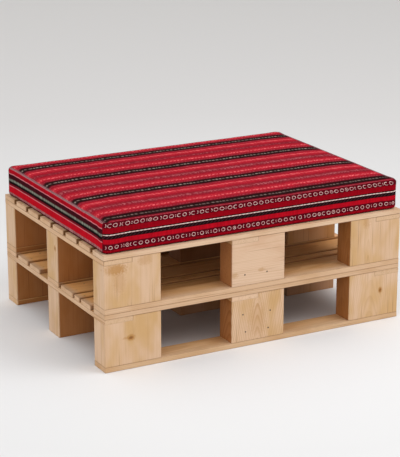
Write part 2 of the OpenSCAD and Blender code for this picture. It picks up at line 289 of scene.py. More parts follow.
class ShapeGraph(Graph):
    """A Geometry Nodes tree that turns a small guide mesh into one plain mesh."""
    family = "GeometryNode"

    def __init__(self, name: str) -> None:
        """Starts a tree with one geometry in and one out.

        Args:
            name: the tree's name.
        """
        super().__init__(bpy.data.node_groups.new(name, "GeometryNodeTree"))
        self.keys: dict[str, str] = {}
        for side in ("INPUT", "OUTPUT"):
            self.tree.interface.new_socket("Geometry", in_out=side,
                                           socket_type="NodeSocketGeometry")
        self.entry = self.tree.nodes.new("NodeGroupInput")
        self.exit = self.tree.nodes.new("NodeGroupOutput")
        self.guide = Wire(self, self.entry.outputs[0])

    def given(self, name: str, kind: str = "Float") -> Wire:
        """Adds a named input to the tree.

        Args:
            name: the input's name.
            kind: its type, such as Float, Int, Object or Material.

        Returns:
            The wire that carries it.
        """
        item = self.tree.interface.new_socket(name, in_out="INPUT", socket_type="NodeSocket" + kind)
        self.keys[name] = item.identifier
        return Wire(self, self.entry.outputs[name])

    def read(self, name: str, kind: str = "FLOAT") -> Wire:
        """Reads a named attribute."""
        return self.get("InputNamedAttribute", {"Name": name}, data_type=kind)

    def transform(self, geometry: Wire, **changes: Point | Wire) -> Wire:
        """Moves, turns or scales geometry; the changes are named as the node's inputs are."""
        return self.get("Transform", {"Geometry": geometry} | changes)

    def cone(self, corners: int, top: object, bottom: object, depth: object) -> Wire:
        """Makes a cone or a tapered disc that stands on the origin."""
        return self.get("MeshCone", {"Vertices": corners, "Radius Top": top,
                                     "Radius Bottom": bottom, "Depth": depth}, "Mesh")

    def tube(self, curve: Wire, radius: Wire, corners: int, caps: bool = True) -> Wire:
        """Gives a curve a round thickness."""
        ring = self.get("CurvePrimitiveCircle", {"Resolution": corners, "Radius": radius})
        return self.get("CurveToMesh", {"Curve": curve, "Profile Curve": ring, "Fill Caps": caps})

    def smooth(self, geometry: Wire) -> Wire:
        """Shades geometry smoothly."""
        return self.get("SetShadeSmooth", {0: geometry})

    def close(self, geometry: Wire, material: Wire) -> None:
        """Ends the tree in Realize Instances and Set Material."""
        real = self.get("RealizeInstances", {0: geometry})
        self.put(self.get("SetMaterial", {"Geometry": real, "Material": material}),
                 self.exit.inputs[0])

    def grow(self, name: str, guide: Mesh, values: dict[str, object]) -> Object:
        """Runs the tree on a guide mesh and keeps the result as a plain mesh.

        Args:
            name: the new piece's name.
            guide: the points or lines that the tree starts from.
            values: a value for each named input.

        Returns:
            The new piece, with no modifier left.
        """
        carrier = put_in_scene(name + "_guide", guide)
        modifier = carrier.modifiers.new("grow", "NODES")
        modifier.node_group = self.tree
        for key, value in values.items():
            modifier[self.keys[key]] = value
        graph = bpy.context.evaluated_depsgraph_get()
        mesh = bpy.data.meshes.new_from_object(carrier.evaluated_get(graph))
        carrier.modifiers.remove(modifier)
        bpy.data.objects.remove(carrier)
        mesh.name = name
        return put_in_scene(name, mesh)


def put_in_scene(name: str, data: bpy.types.ID) -> Object:
    """Shows a mesh, a lamp or a camera as an object at the origin.

    Args:
        name: the object's name.
        data: what it shows.

    Returns:
        The object.
    """
    thing = bpy.data.objects.new(name, data)
    bpy.context.scene.collection.objects.link(thing)
    return thing


def mesh_of(name: str, points: np.ndarray | list[Point],
            faces: list[tuple[int, ...]] | None = None,
            edges: list[tuple[int, int]] | None = None) -> Mesh:
    """Makes a mesh.

    Args:
        name: the mesh's name.
        points: one row of x, y, z for each point.
        faces: the points of each face.
        edges: the points of each loose edge.

    Returns:
        The mesh.
    """
    mesh = bpy.data.meshes.new(name)
    mesh.from_pydata([tuple(map(float, p)) for p in points], edges or [], faces or [])
    mesh.update()
    return mesh


def line_mesh(paths: list[list[Point]]) -> Mesh:
    """Makes a mesh of loose edges that follow some paths.

    Args:
        paths: the points of each path.

    Returns:
        The mesh.
    """
    points, edges = [], []
    for path in paths:
        edges += [(len(points) + k, len(points) + k + 1) for k in range(len(path) - 1)]
        points += path
    return mesh_of("paths", points, edges=edges)


def note(mesh: Mesh, name: str, kind: str, values: list[object]) -> None:
    """Stores one value for each point of a mesh.

    Args:
        mesh: the mesh.
        name: the attribute's name.
        kind: FLOAT, INT or FLOAT_VECTOR.
        values: the values, in the points' order.
    """
    attribute = mesh.attributes.new(name, kind, "POINT")
    key = "vector" if kind == "FLOAT_VECTOR" else "value"
    attribute.data.foreach_set(key, np.array(values).ravel())


def points_of(mesh: Mesh) -> np.ndarray:
    """Reads a mesh's points.

    Args:
        mesh: the mesh.

    Returns:
        One row of x, y, z for each point.
    """
    flat = np.empty(len(mesh.vertices) * 3)
    mesh.vertices.foreach_get("co", flat)
    return flat.reshape(-1, 3)


def move_points(mesh: Mesh, points: np.ndarray) -> None:
    """Moves a mesh's points to new places."""
    mesh.vertices.foreach_set("co", points.ravel())
    mesh.update()


def hand_over(piece: Object, body: str, slot: str, *nodes: str) -> None:
    """Says what a finished piece rides on, and the CAD nodes that it stands for.

    Args:
        piece: the piece.
        body: the CAD body that carries it.
        slot: the record's material slot; not used.
        *nodes: the CAD nodes that it replaces.
    """
    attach(piece, body)
    if nodes:
        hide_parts(*nodes)
    log.info("made %s: %d faces", piece.name, len(piece.data.polygons))


def dress_node(node: str, material: Material) -> None:
    """Puts one material on a CAD node's object.

    Args:
        node: the CAD node.
        material: its new finish.
    """
    thing = frame["nodes"][node]
    thing.data.materials.clear()
    thing.data.materials.append(material)
    log.info("dressed %s", node)


class Grain(Enum):
    """The way that a board's fibres run, as the order of its axes."""
    ALONG_X = (0, 1, 2)
    ALONG_Y = (1, 2, 0)
    UPRIGHT = (2, 0, 1)


@dataclass(frozen=True)
class Knot:
    """A knot or a resin patch in a board; tall says how many times higher than wide it is."""
    place: Point
    radius: float
    depth: float = 1.0
    tall: float = 0.8
    patch: bool = False


class BoardGraph(FinishGraph):
    """One board's material, with the places on the board that its finish reads."""

    def __init__(self, node: str, grain: Grain, seed: float) -> None:
        """Starts the material of a CAD board.

        Args:
            node: the board's CAD node.
            grain: the way that its fibres run.
            seed: what sets its figure apart from other boards'.
        """
        super().__init__("wood_" + node)
        low, self.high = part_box(node)
        self.seed, self.place = seed, self.here()
        self.parts = self.split(self.place)
        centred = [part - middle for part, middle in zip(self.parts, (low + self.high) / 2)]
        self.along, self.across, self.through = (centred[axis] for axis in grain.value)
        self.gaps = [half - abs(part) for half, part in zip((self.high - low) / 2, centred)]

    def figure(self, stretch: float, fine: float, detail: float = 2.0, roughness: float = 0.5,
               shift: float = 0.0) -> Wire:
        """Adds noise drawn out along the fibres.

        Args:
            stretch: how many lumps it has to a metre along the fibres.
            fine: how many it has across them.
            detail: how many finer layers it has.
            roughness: how strong the finer layers are.
            shift: what sets it apart from the board's other noises.

        Returns:
            The noise, about 0.5.
        """
        place = self.join(self.along * stretch + (self.seed + shift), self.across * fine,
                          self.through * fine)
        return self.noise(place, 1.0, detail, roughness)


@dataclass(frozen=True)
class WoodFinish:
    """Planed softwood: year rings about a pith, fibres, checks, knots, rubbed edges and painted
    shade.

    A figure is its lumps to a metre along and across the fibres, its finer layers and their
    strength. A fade is the two depths, in metres, between which a coat comes and goes.
    """
    pale: Colour = rgb(227, 191, 158)
    amber: Colour = rgb(214, 172, 120)
    late: Colour = rgb(184, 136, 82)
    fibre: Colour = rgb(150, 100, 60)
    check: Colour = rgb(150, 98, 58)
    knot_rim: Colour = rgb(186, 132, 66)
    knot_heart: Colour = rgb(140, 90, 44)
    worn: Colour = rgb(170, 124, 80)
    seam: Colour = rgb(112, 66, 34)
    ring_pitch: float = 0.0042
    ring_depth: float = 0.30
    grain: Grain = Grain.ALONG_X
    pith: tuple[float, float] = (0.03, -0.09)
    taper: float = 0.02
    seed: float = 0.0
    sway: float = 0.022
    sway_figure: tuple[float, ...] = (1.6, 9.0)
    fibre_figure: tuple[float, ...] = (14.0, 900.0, 3.0, 0.6)
    streak_figure: tuple[float, ...] = (3.0, 130.0)
    check_figure: tuple[float, ...] = (4.5, 230.0, 1.0)
    tint_figure: tuple[float, ...] = (7.0, 16.0)
    tone: float = 1.0
    rub_reach: float = 0.0045
    rub_depth: float = 0.3
    scuffs: tuple[float, ...] = (130.0, 3.0, 0.65)
    seam_depth: float = 0.5
    seam_fade: tuple[float, float] = (0.0017, 0.0009)
    joint_fade: tuple[float, float] = (0.0020, 0.0012)
    check_depth: float = 0.5
    # Painted shade, with some warm bounce light: the colours below multiply the wood inside the
    # pallets, deeper in, and on the sides below a board's top, but not above a set height.
    inner: Colour = (0.87, 0.745, 0.50, 1.0)
    inner_start: float = 0.0012
    inner_reach: float = 0.004
    deep: Colour = (0.92, 0.88, 0.84, 1.0)
    deep_shade_fade: tuple[float, float] = (0.05, 0.20)
    clear_above: float = 1.0
    clear_soft: float = 0.001
    gap: Colour | None = None
    gap_reach: float = 0.006
    gap_fade: tuple[float, float] = (0.001, 0.004)
    end_pale: Colour | None = None
    end_fade: tuple[float, float] = (0.0015, 0.0007)
    knots: tuple[Knot, ...] = ()
    knot_swell: float = 1.3
    knot_noise: tuple[float, ...] = (170.0, 3.0, 0.6)
    knot_ragged: float = 0.9
    patch_ragged: float = 1.9

    def rings(self, g: BoardGraph) -> tuple[Wire, list[Coat]]:
        """Works out the year rings, which swell round each knot.

        Args:
            g: the board's graph.

        Returns:
            How strong the late wood is, and the coats that the knots and patches add.
        """
        side, deep = g.across - self.pith[0], g.through - self.pith[1]
        radial = g.along * self.taper + g.maths("SQRT", side * side + deep * deep)
        radial = (g.figure(*self.sway_figure) - 0.5) * self.sway + radial
        ragged = g.noise(g.place, *self.knot_noise) - 0.5
        stains = []
        for knot in self.knots:
            x, y, z = g.split(g.vector("SUBTRACT", g.place, knot.place))
            share = g.length(g.join(x, y, z / knot.tall)) / knot.radius
            bent = ragged * (self.patch_ragged if knot.patch else self.knot_ragged) + share
            stains.append((g.step(bent, 1.5, 0.5) * knot.depth, self.knot_rim))
            if not knot.patch:
                radial = radial + knot.radius * self.knot_swell / (share * share + 1.0)
                stains.append((g.step(bent, 0.75, 0.25) * knot.depth, self.knot_heart))
        turns = radial / self.ring_pitch
        turn, year = g.maths("FRACT", turns), g.chance(g.maths("FLOOR", turns), self.seed)
        return g.step(turn, 0.35, 0.9) * g.step(turn, 1.0, 0.93) * (year * 0.7 + 0.5), stains

    def wear(self, g: BoardGraph) -> list[Coat]:
        """Rubs the board's edges and draws a dark seam where it meets the next one.

        Args:
            g: the board's graph.

        Returns:
            The two coats.
        """
        nearest, furthest = g.fold("MINIMUM", *g.gaps), g.fold("MAXIMUM", *g.gaps)
        to_edge = g.fold("ADD", *g.gaps) - nearest - furthest
        scuff = g.noise(g.place, *self.scuffs)
        rubbed = g.step(to_edge, self.rub_reach, 0.0) * g.maths("ADD", scuff, -0.15, clamp=True)
        top = g.gaps[2]
        joint = g.fold("MINIMUM", g.gaps[0], top) if self.grain is Grain.ALONG_Y else top
        broken = g.maths("MULTIPLY_ADD", scuff, 0.9, 0.2, clamp=True)
        dark = g.step(to_edge, *self.seam_fade) * g.step(joint, *self.joint_fade) * broken
        return [(rubbed * self.rub_depth, self.worn), (dark * self.seam_depth, self.seam)]

    def shade(self, g: BoardGraph) -> list[Coat]:
        """Paints shade into the wood, darker and warmer by how far inside the pallets it lies.

        Args:
            g: the board's graph.

        Returns:
            The coats, which multiply the wood's colour.
        """
        x, y, z = g.parts
        depth = g.fold("MINIMUM", HALF_LENGTH - abs(x), HALF_DEPTH - abs(y))
        below = g.step(z, self.clear_above, self.clear_above - self.clear_soft)
        coats = [(g.step(depth, self.inner_start, self.inner_reach) * below, self.inner),
                 (g.step(depth, *self.deep_shade_fade) * below, self.deep)]
        # painted shade on a board's sides below its top, in the gaps between boards
        if self.gap:
            sunk = g.step(z, *(g.high.z - fall for fall in self.gap_fade))
            coats.append((sunk * g.step(depth, self.inner_start, self.gap_reach), self.gap))
        return coats

    def dress(self, node: str) -> None:
        """Gives a CAD board this wood, fitted to the board's own place.

        Args:
            node: the board's CAD node.
        """
        g = BoardGraph(node, self.grain, self.seed)
        late, stains = self.rings(g)
        fibres, streaks = g.figure(*self.fibre_figure), g.figure(*self.streak_figure)
        checks = g.figure(*self.check_figure, shift=9.0)
        coats = [(late * self.ring_depth, self.late), (g.step(streaks, 0.5, 0.8) * 0.28, self.late),
                 (g.step(fibres, 0.55, 0.8) * 0.18, self.fibre),
                 (g.step(checks, 0.66, 0.76) * self.check_depth, self.check)]
        if self.end_pale:
            at_end = g.step(HALF_DEPTH - abs(g.parts[1]), *self.end_fade)
            coats.insert(0, (at_end, self.end_pale))
        tint = g.step(g.figure(*self.tint_figure, shift=5.0), 0.38, 0.72)
        base = g.mix(tint, self.pale, self.amber)
        colour = g.coats(base, coats + stains + self.wear(g))
        # painted shade inside the pallets, multiplied over the wood
        colour = g.coats(colour, self.shade(g), "MULTIPLY")
        g.bump(fibres * 0.5 + late * 0.35, 0.0006, 0.5)
        dress_node(node, g.surface(g.get("HueSaturation", {"Value": self.tone, "Color": colour}),
                                   fibres * 0.25 + 0.52, Specular_IOR_Level=0.35))


@dataclass(frozen=True)
class SteelFinish:
    """Bright or zinc-plated steel, with light wear."""
    base: Colour
    dirt: Colour
    roughness: float
    metallic: float = 1.0
    wear_scale: float = 700.0

    def make(self, name: str) -> Material:
        """Builds the material.

        Args:
            name: the material's name.

        Returns:
            The material.
        """
        g = FinishGraph(name)
        place = g.here()
        grime = g.noise(place, self.wear_scale, 4.0, 0.6)
        g.bump(g.noise(place, self.wear_scale * 5), 0.0002, 0.4)
        return g.surface(g.mix(g.step(grime, 0.42, 0.7), self.base, self.dirt),
                         grime * 0.3 + self.roughness, Metallic=self.metallic)


@dataclass(frozen=True)
class FoamFinish:
    """Open-cell upholstery foam."""
    body: Colour = rgb(236, 226, 196)
    cell: Colour = rgb(196, 180, 140)
    cells: float = 900.0

    def make(self, name: str) -> Material:
        """Builds the material.

        Args:
            name: the material's name.

        Returns:
            The material.
        """
        g = FinishGraph(name)
        cells = g.get("TexVoronoi", {"Vector": g.here(), "Scale": self.cells})
        g.bump(cells, 0.0006, 0.8)
        return g.surface(g.mix(g.step(cells, 0.1, 0.5), self.cell, self.body), 0.95)


@dataclass(frozen=True)
class SeamFinish:
    """A seam rolled into a thin cord, with slanting threads of a second colour."""
    body: Colour
    thread: Colour
    lay: float = 0.0042
    wool: float = 700.0

    def make(self, name: str) -> Material:
        """Builds the material.

        Args:
            name: the material's name.

        Returns:
            The material.
        """
        g = FinishGraph(name)
        place = g.here()
        turn = g.maths("SINE", g.fold("ADD", *g.split(place)) * (TURN / self.lay))
        height = turn * 0.5 + g.noise(place, self.wool)
        g.bump(height, 0.0005, 0.6)
        return g.surface(g.mix(g.step(height, 0.35, 0.95), self.thread, self.body), 0.92,
                         Specular_IOR_Level=0.08)


@dataclass(frozen=True)
class YarnFinish:
    """Raised yarn of one colour, uneven along its length."""
    pale: Colour
    deep: Colour
    patches: float = 160.0
    hairs: float = 1500.0

    def make(self, name: str) -> Material:
        """Builds the material.

        Args:
            name: the material's name.

        Returns:
            The material.
        """
        g = FinishGraph(name)
        place = g.here()
        hairs = g.noise(place, self.hairs)
        uneven = g.step(g.noise(place, self.patches, 3.0, 0.6), 0.38, 0.68)
        colour = g.mix(uneven, self.deep, self.pale)
        colour = g.mix(g.step(hairs, 0.5, 0.8) * 0.3, colour, self.deep)
        g.bump(hairs, 0.0004, 0.6)
        return g.surface(colour, 0.9, Specular_IOR_Level=0.08)


@dataclass(frozen=True)
class TapeFinish:
    """Dense woven polyester tape."""
    body: Colour = rgb(92, 20, 32)
    dark: Colour = rgb(52, 12, 20)
    pitch: float = 0.0009

    def make(self, name: str) -> Material:
        """Builds the material.

        Args:
            name: the material's name.

        Returns:
            The material.
        """
        g = FinishGraph(name)
        x, _, z = g.split(g.here())
        weft, warp = (g.maths("SINE", part * (TURN / self.pitch)) for part in (x, z))
        threads = weft * warp * 0.5 + 0.5
        g.bump(threads, 0.0002, 0.7)
        return g.surface(g.mix(threads, self.dark, self.body), 0.8, Specular_IOR_Level=0.2)


@dataclass(frozen=True)
class DashRow:
    """A row of woven dashes: its place, pitch, duty, half width, strength and colour, in mm."""
    place: float
    pitch: float
    duty: float
    half: float
    amount: float
    colour: Colour


@dataclass(frozen=True)
class MarkRow:
    """A row of small woven rings and brackets of uneven size, in mm.

    Its place, pitch, half a mark's length and width, the line's share of the mark's half size,
    a seed that picks the marks, and the row's strength and colour.
    """
    place: float
    pitch: float
    length: float
    width: float
    stroke: float
    seed: float
    amount: float
    colour: Colour


@dataclass(frozen=True)
class ClothFinish:
    """A handwoven striped cloth. Its UV map holds metres along and across the stripes.

    Stripes are listed by where each one starts, in mm, up to span. The threads' drift, hatch,
    slubs and clouds have so many lumps to a metre.
    """
    name: str
    slant: float = 0.0
    span: float = 1.0
    stripes: Stripes = ()
    dash_rows: tuple[DashRow, ...] = ()
    mark_rows: tuple[MarkRow, ...] = ()
    edge_mm: float = 0.8
    rib_pitch: float = 0.0016
    slub: float = 0.12
    top_mm: float = 485.0
    drift: float = 0.0022
    drift_lumps: float = 14.0
    hatch_along: float = 170.0
    hatch_across: float = 22.0
    slub_along: float = 25.0
    slub_across: float = 420.0
    cloud_lumps: float = 26.0

    def figure(self, g: FinishGraph, along: Wire, across: Wire) -> Wire:
        """Lays a border's stripes and marks, down from its top edge.

        Args:
            g: the material's graph.
            along: metres along the stripes.
            across: metres across the stripes.

        Returns:
            The colour before the threads.
        """
        down = self.top_mm - across * IN_MM
        return g.coats(self.striped(g, down), [self.marks(g, along * IN_MM, down, row)
                                               for row in self.mark_rows])

    def striped(self, g: FinishGraph, distance: Wire) -> Wire:
        """Lays the stripes side by side.

        Args:
            g: the material's graph.
            distance: the distance across them, in mm.

        Returns:
            The colour.
        """
        stops: list[tuple[float, Colour]] = []
        for (_, before), (start, after) in zip(self.stripes, self.stripes[1:]):
            stops.append(((start - self.edge_mm) / self.span, before))
            stops.append(((start + self.edge_mm) / self.span, after))
        return g.ramp(distance / self.span, stops)

    def marks(self, g: FinishGraph, along: Wire, across: Wire, row: MarkRow) -> Coat:
        """Weaves a row of small rings and brackets.

        Args:
            g: the material's graph.
            along: the distance along the row, in mm.
            across: the distance across the cloth, in mm.
            row: the row.

        Returns:
            The row's coat.
        """
        shift = g.noise(g.join(along * 0.013, row.seed), 1.0, 1.0)
        turns = (shift * (row.pitch * 5) + along) / row.pitch
        cell = g.maths("FLOOR", turns)
        u = (turns - cell - 0.5) * (row.pitch / row.length)
        v = (across - row.place) / row.width
        ring = g.band(g.maths("SQRT", u * u + v * v), 1.0 - row.stroke, row.stroke,
                      row.stroke * 0.7)
        pick = g.chance(cell, row.seed)
        side = g.step(u * g.maths("SIGN", pick - 0.5), -0.3, 0.1)
        whole = g.step(g.maths("PINGPONG", pick * 7.0, 1.0), 0.45, 0.55)
        bright = g.chance(cell, row.seed + 37.0) * 0.7 + 0.3
        return ring * g.maths("MAXIMUM", side, whole) * bright * row.amount, row.colour

    def dashes(self, g: FinishGraph, along: Wire, across: Wire, row: DashRow) -> Coat:
        """Weaves a row of short dashes, some brighter than others.

        Args:
            g: the material's graph.
            along: the distance along the row, in mm.
            across: the distance across the cloth, in mm.
            row: the row.

        Returns:
            The row's coat.
        """
        offset, seed = across - row.place, row.place + 1.0
        leaning = offset * -0.7 + (along + seed * 3.7)
        uneven = g.noise(g.join(along * 0.02, seed))
        turns = (uneven * (row.pitch * 3) + leaning) / row.pitch
        lit = g.band(g.maths("FRACT", turns), 0.5, row.duty / 2, 0.12)
        level = g.chance(g.maths("FLOOR", turns), seed) * 0.65 + 0.35
        return lit * level * g.band(offset, 0.0, row.half, 1.2) * row.amount, row.colour

    def make(self) -> Material:
        """Builds the panel's material: its figure, then the threads, slubs and ribs.

        Returns:
            The material.
        """
        g = FinishGraph(self.name)
        along, across, _ = g.split(g.get("UVMap", uv_map="cloth"))
        drift = g.noise(g.join(along * self.drift_lumps, 0.0), 1.0, 3.0)
        across = (drift - 0.5) * self.drift + across
        weft, warp = (g.maths("SINE", way * (TURN / self.rib_pitch)) * 0.5 + 0.5
                      for way in (along, across))
        threads = weft * warp
        hatch = g.noise(g.join((across * self.slant + along) * self.hatch_along,
                               across * self.hatch_across))
        slub = g.noise(g.join(along * self.slub_along, across * self.slub_across), 1.0, 3.0)
        cloudy = g.noise(g.join(along, across), self.cloud_lumps, 3.0)
        shade = ((slub - 0.5) * 0.5 + (hatch - 0.5) * 0.75 + (cloudy - 0.5) * 0.35
                 + (threads - 0.25) * self.slub + 1.0)
        g.bump(hatch * 1.6 + slub * 0.4 + threads, 0.0006, 0.7)
        return g.surface(g.scaled(self.figure(g, along, across), shade), 0.95,
                         Specular_IOR_Level=0.02)


@dataclass(frozen=True)
class TopCloth(ClothFinish):
    """The top panel's stripes, which run from end to end in four repeats about black ones."""
    name: str = "cloth_top"
    slant: float = 0.45
    black_centres: tuple[float, ...] = (-347.0, -123.0, 103.0, 314.0)
    curl: float = 36.0
    curl_from: tuple[float, float] = (508.0, 550.0)
    dim: float = 0.45
    dim_from: tuple[float, float] = (-230.0, -300.0)
    span: float = 130.0
    stripes: Stripes = (
        (0, rgb(48, 24, 24)), (6, rgb(40, 13, 15)), (20, rgb(104, 16, 28)), (26, rgb(144, 26, 42)),
        (38, rgb(158, 22, 38)), (44, rgb(182, 31, 47)), (74, rgb(171, 25, 41)),
        (84, rgb(152, 22, 38)), (96, rgb(138, 29, 43)), (124, rgb(146, 24, 40)))
    dash_rows: tuple[DashRow, ...] = (
        DashRow(0.0, 14.0, 0.60, 4.2, 0.72, rgb(190, 170, 158)),
        DashRow(31.0, 11.0, 0.50, 3.0, 0.5, rgb(200, 98, 106)),
        DashRow(59.0, 14.0, 0.56, 5.0, 0.62, rgb(255, 128, 132)),
        DashRow(76.0, 11.5, 0.50, 2.2, 0.35, rgb(222, 80, 90)),
        DashRow(92.0, 12.4, 0.50, 2.2, 0.40, rgb(190, 70, 82)),
        DashRow(110.0, 13.2, 0.54, 4.8, 0.46, rgb(206, 120, 124)))
    mark_rows: tuple[MarkRow, ...] = (
        MarkRow(59.0, 17.0, 6.0, 9.0, 0.30, 23.0, 0.40, rgb(244, 112, 118)),
        MarkRow(110.0, 16.0, 5.5, 9.0, 0.30, 29.0, 0.36, rgb(204, 122, 128)))
    end_rim_colour: Colour = rgb(168, 108, 116)
    end_rim_from: tuple[float, float] = (524.0, 546.0)

    def figure(self, g: FinishGraph, along: Wire, across: Wire) -> Wire:
        """Lays the stripes, dashes and marks on both sides of each black stripe.

        Args:
            g: the material's graph.
            along: metres along the stripes.
            across: metres across the stripes.

        Returns:
            The colour before the threads.
        """
        s = along * IN_MM
        p = g.step(s * -1.0, *self.curl_from) * self.curl + across * IN_MM
        away = g.fold("MINIMUM", *(abs(p - centre) for centre in self.black_centres))
        coats = [self.dashes(g, s, away, row) for row in self.dash_rows]
        dim = g.step(p, *self.dim_from) * -self.dim + 1.0
        coats[0] = (coats[0][0] * dim, coats[0][1])
        coats += [self.marks(g, s, away, row) for row in self.mark_rows]
        # a paler pinkish grey towards the panel's two ends
        coats.append((g.step(abs(s), *self.end_rim_from) * 0.5, self.end_rim_colour))
        return g.coats(self.striped(g, away), coats)


@dataclass(frozen=True)
class LongBorderCloth(ClothFinish):
    """The front and back borders, with a dark stripe under the twisted white line."""
    name: str = "cloth_long_border"
    span: float = 102.0
    stripes: Stripes = (
        (0, rgb(92, 10, 23)), (16.5, rgb(152, 8, 24)), (34, rgb(34, 10, 14)),
        (53, rgb(184, 14, 32)), (68, rgb(92, 10, 23)), (88, rgb(152, 8, 24)),
        (99.5, rgb(90, 10, 20)))
    strand: Colour = rgb(150, 100, 98)
    glint: Colour = rgb(150, 120, 124)
    line_mm: float = 39.0
    line_half_mm: float = 1.6
    glint_mm: float = 47.0
    glint_half_mm: float = 4.2
    glint_pitch_mm: float = 13.5
    glint_lean: float = 0.09

    def figure(self, g: FinishGraph, along: Wire, across: Wire) -> Wire:
        """Lays the stripes, the line's flat yarn and a row of slanting glints.

        Args:
            g: the material's graph.
            along: metres along the stripes.
            across: metres across the stripes.

        Returns:
            The colour before the threads.
        """
        down = self.top_mm - across * IN_MM
        under = down - self.glint_mm
        slanting = g.maths("FRACT", under * self.glint_lean + along * IN_MM / self.glint_pitch_mm)
        glint = g.band(slanting, 0.5, 0.13, 0.1) * g.band(under, 0.0, self.glint_half_mm, 1.2)
        line = g.band(down, self.line_mm, self.line_half_mm, 0.6)
        return g.coats(self.striped(g, down),
                       [(line * 0.6, self.strand), (glint * 0.12, self.glint)])


@dataclass(frozen=True)
class EndBorderCloth(ClothFinish):
    """The end borders, cut from another place of the same cloth."""
    name: str = "cloth_end_border"
    span: float = 104.0
    stripes: Stripes = (
        (-10, rgb(170, 120, 124)), (3, rgb(178, 14, 32)), (17, rgb(222, 132, 140)),
        (20.5, rgb(66, 16, 25)), (38, rgb(104, 106, 96)), (44.5, rgb(28, 12, 15)),
        (54, rgb(118, 18, 30)), (61, rgb(216, 122, 130)), (64, rgb(194, 16, 34)),
        (84.5, rgb(150, 84, 88)), (92.5, rgb(70, 16, 22)))
    mark_rows: tuple[MarkRow, ...] = (
        MarkRow(41.0, 8.0, 3.6, 5.0, 0.5, 5.0, 0.6, rgb(176, 182, 162)),
        MarkRow(89.5, 9.0, 4.0, 5.0, 0.4, 17.0, 0.6, rgb(206, 156, 152)))


@dataclass(frozen=True)
class UndersideCloth(ClothFinish):
    """Plain dark twill under the cushion."""
    name: str = "cloth_underside"
    slant: float = 1.0
    light: Colour = rgb(64, 22, 30)
    dark: Colour = rgb(44, 18, 24)

    def figure(self, g: FinishGraph, along: Wire, across: Wire) -> Wire:
        """Mixes two dark reds in soft clouds."""
        return g.mix(g.noise(g.join(along, across), 60.0, 3.0), self.light, self.dark)


class Panel(Enum):
    """The cloth panels of the cushion's cover, each with its finish."""
    TOP = TopCloth()
    LONG_BORDER = LongBorderCloth()
    END_BORDER = EndBorderCloth()
    UNDERSIDE = UndersideCloth()


class Motif(Enum):
    """A figure of the ring rows: its letter, its advance along the row in mm, and its strokes.

    A stroke is an arc of unit size: where it starts and how far it goes round in degrees, its
    corners, its scale, and the place of its centre.
    """
    RING = ("O", 21.8, (0, 360, 12, (1, 1), (0, 0)))
    OPEN_RING = ("C", 17.0, (55, 250, 10, (1, 1), (0.1, 0)))
    LEFT_BRACKET = ("(", 10.5, (115, 130, 7, (0.8, 1), (0.35, 0)))
    RIGHT_BRACKET = (")", 11.5, (-65, 130, 7, (0.8, 1), (-0.35, 0)))
    DOTTED_RING = ("%", 16.0, (0, 360, 12, (0.86, 0.95), (0, 0)), (0, 360, 5, (0.12, 0.2), (0, 0)))
    DOTS = (":", 7.6, (0, 360, 5, (0.12, 0.2), (0, 0.5)), (0, 360, 5, (0.12, 0.2), (0, -0.5)))


@dataclass(frozen=True)
class RingRow:
    """One row of rings on a border: its draft, where it runs, and its figures' sizes."""
    draft: str
    depth: float
    length: float
    width: float


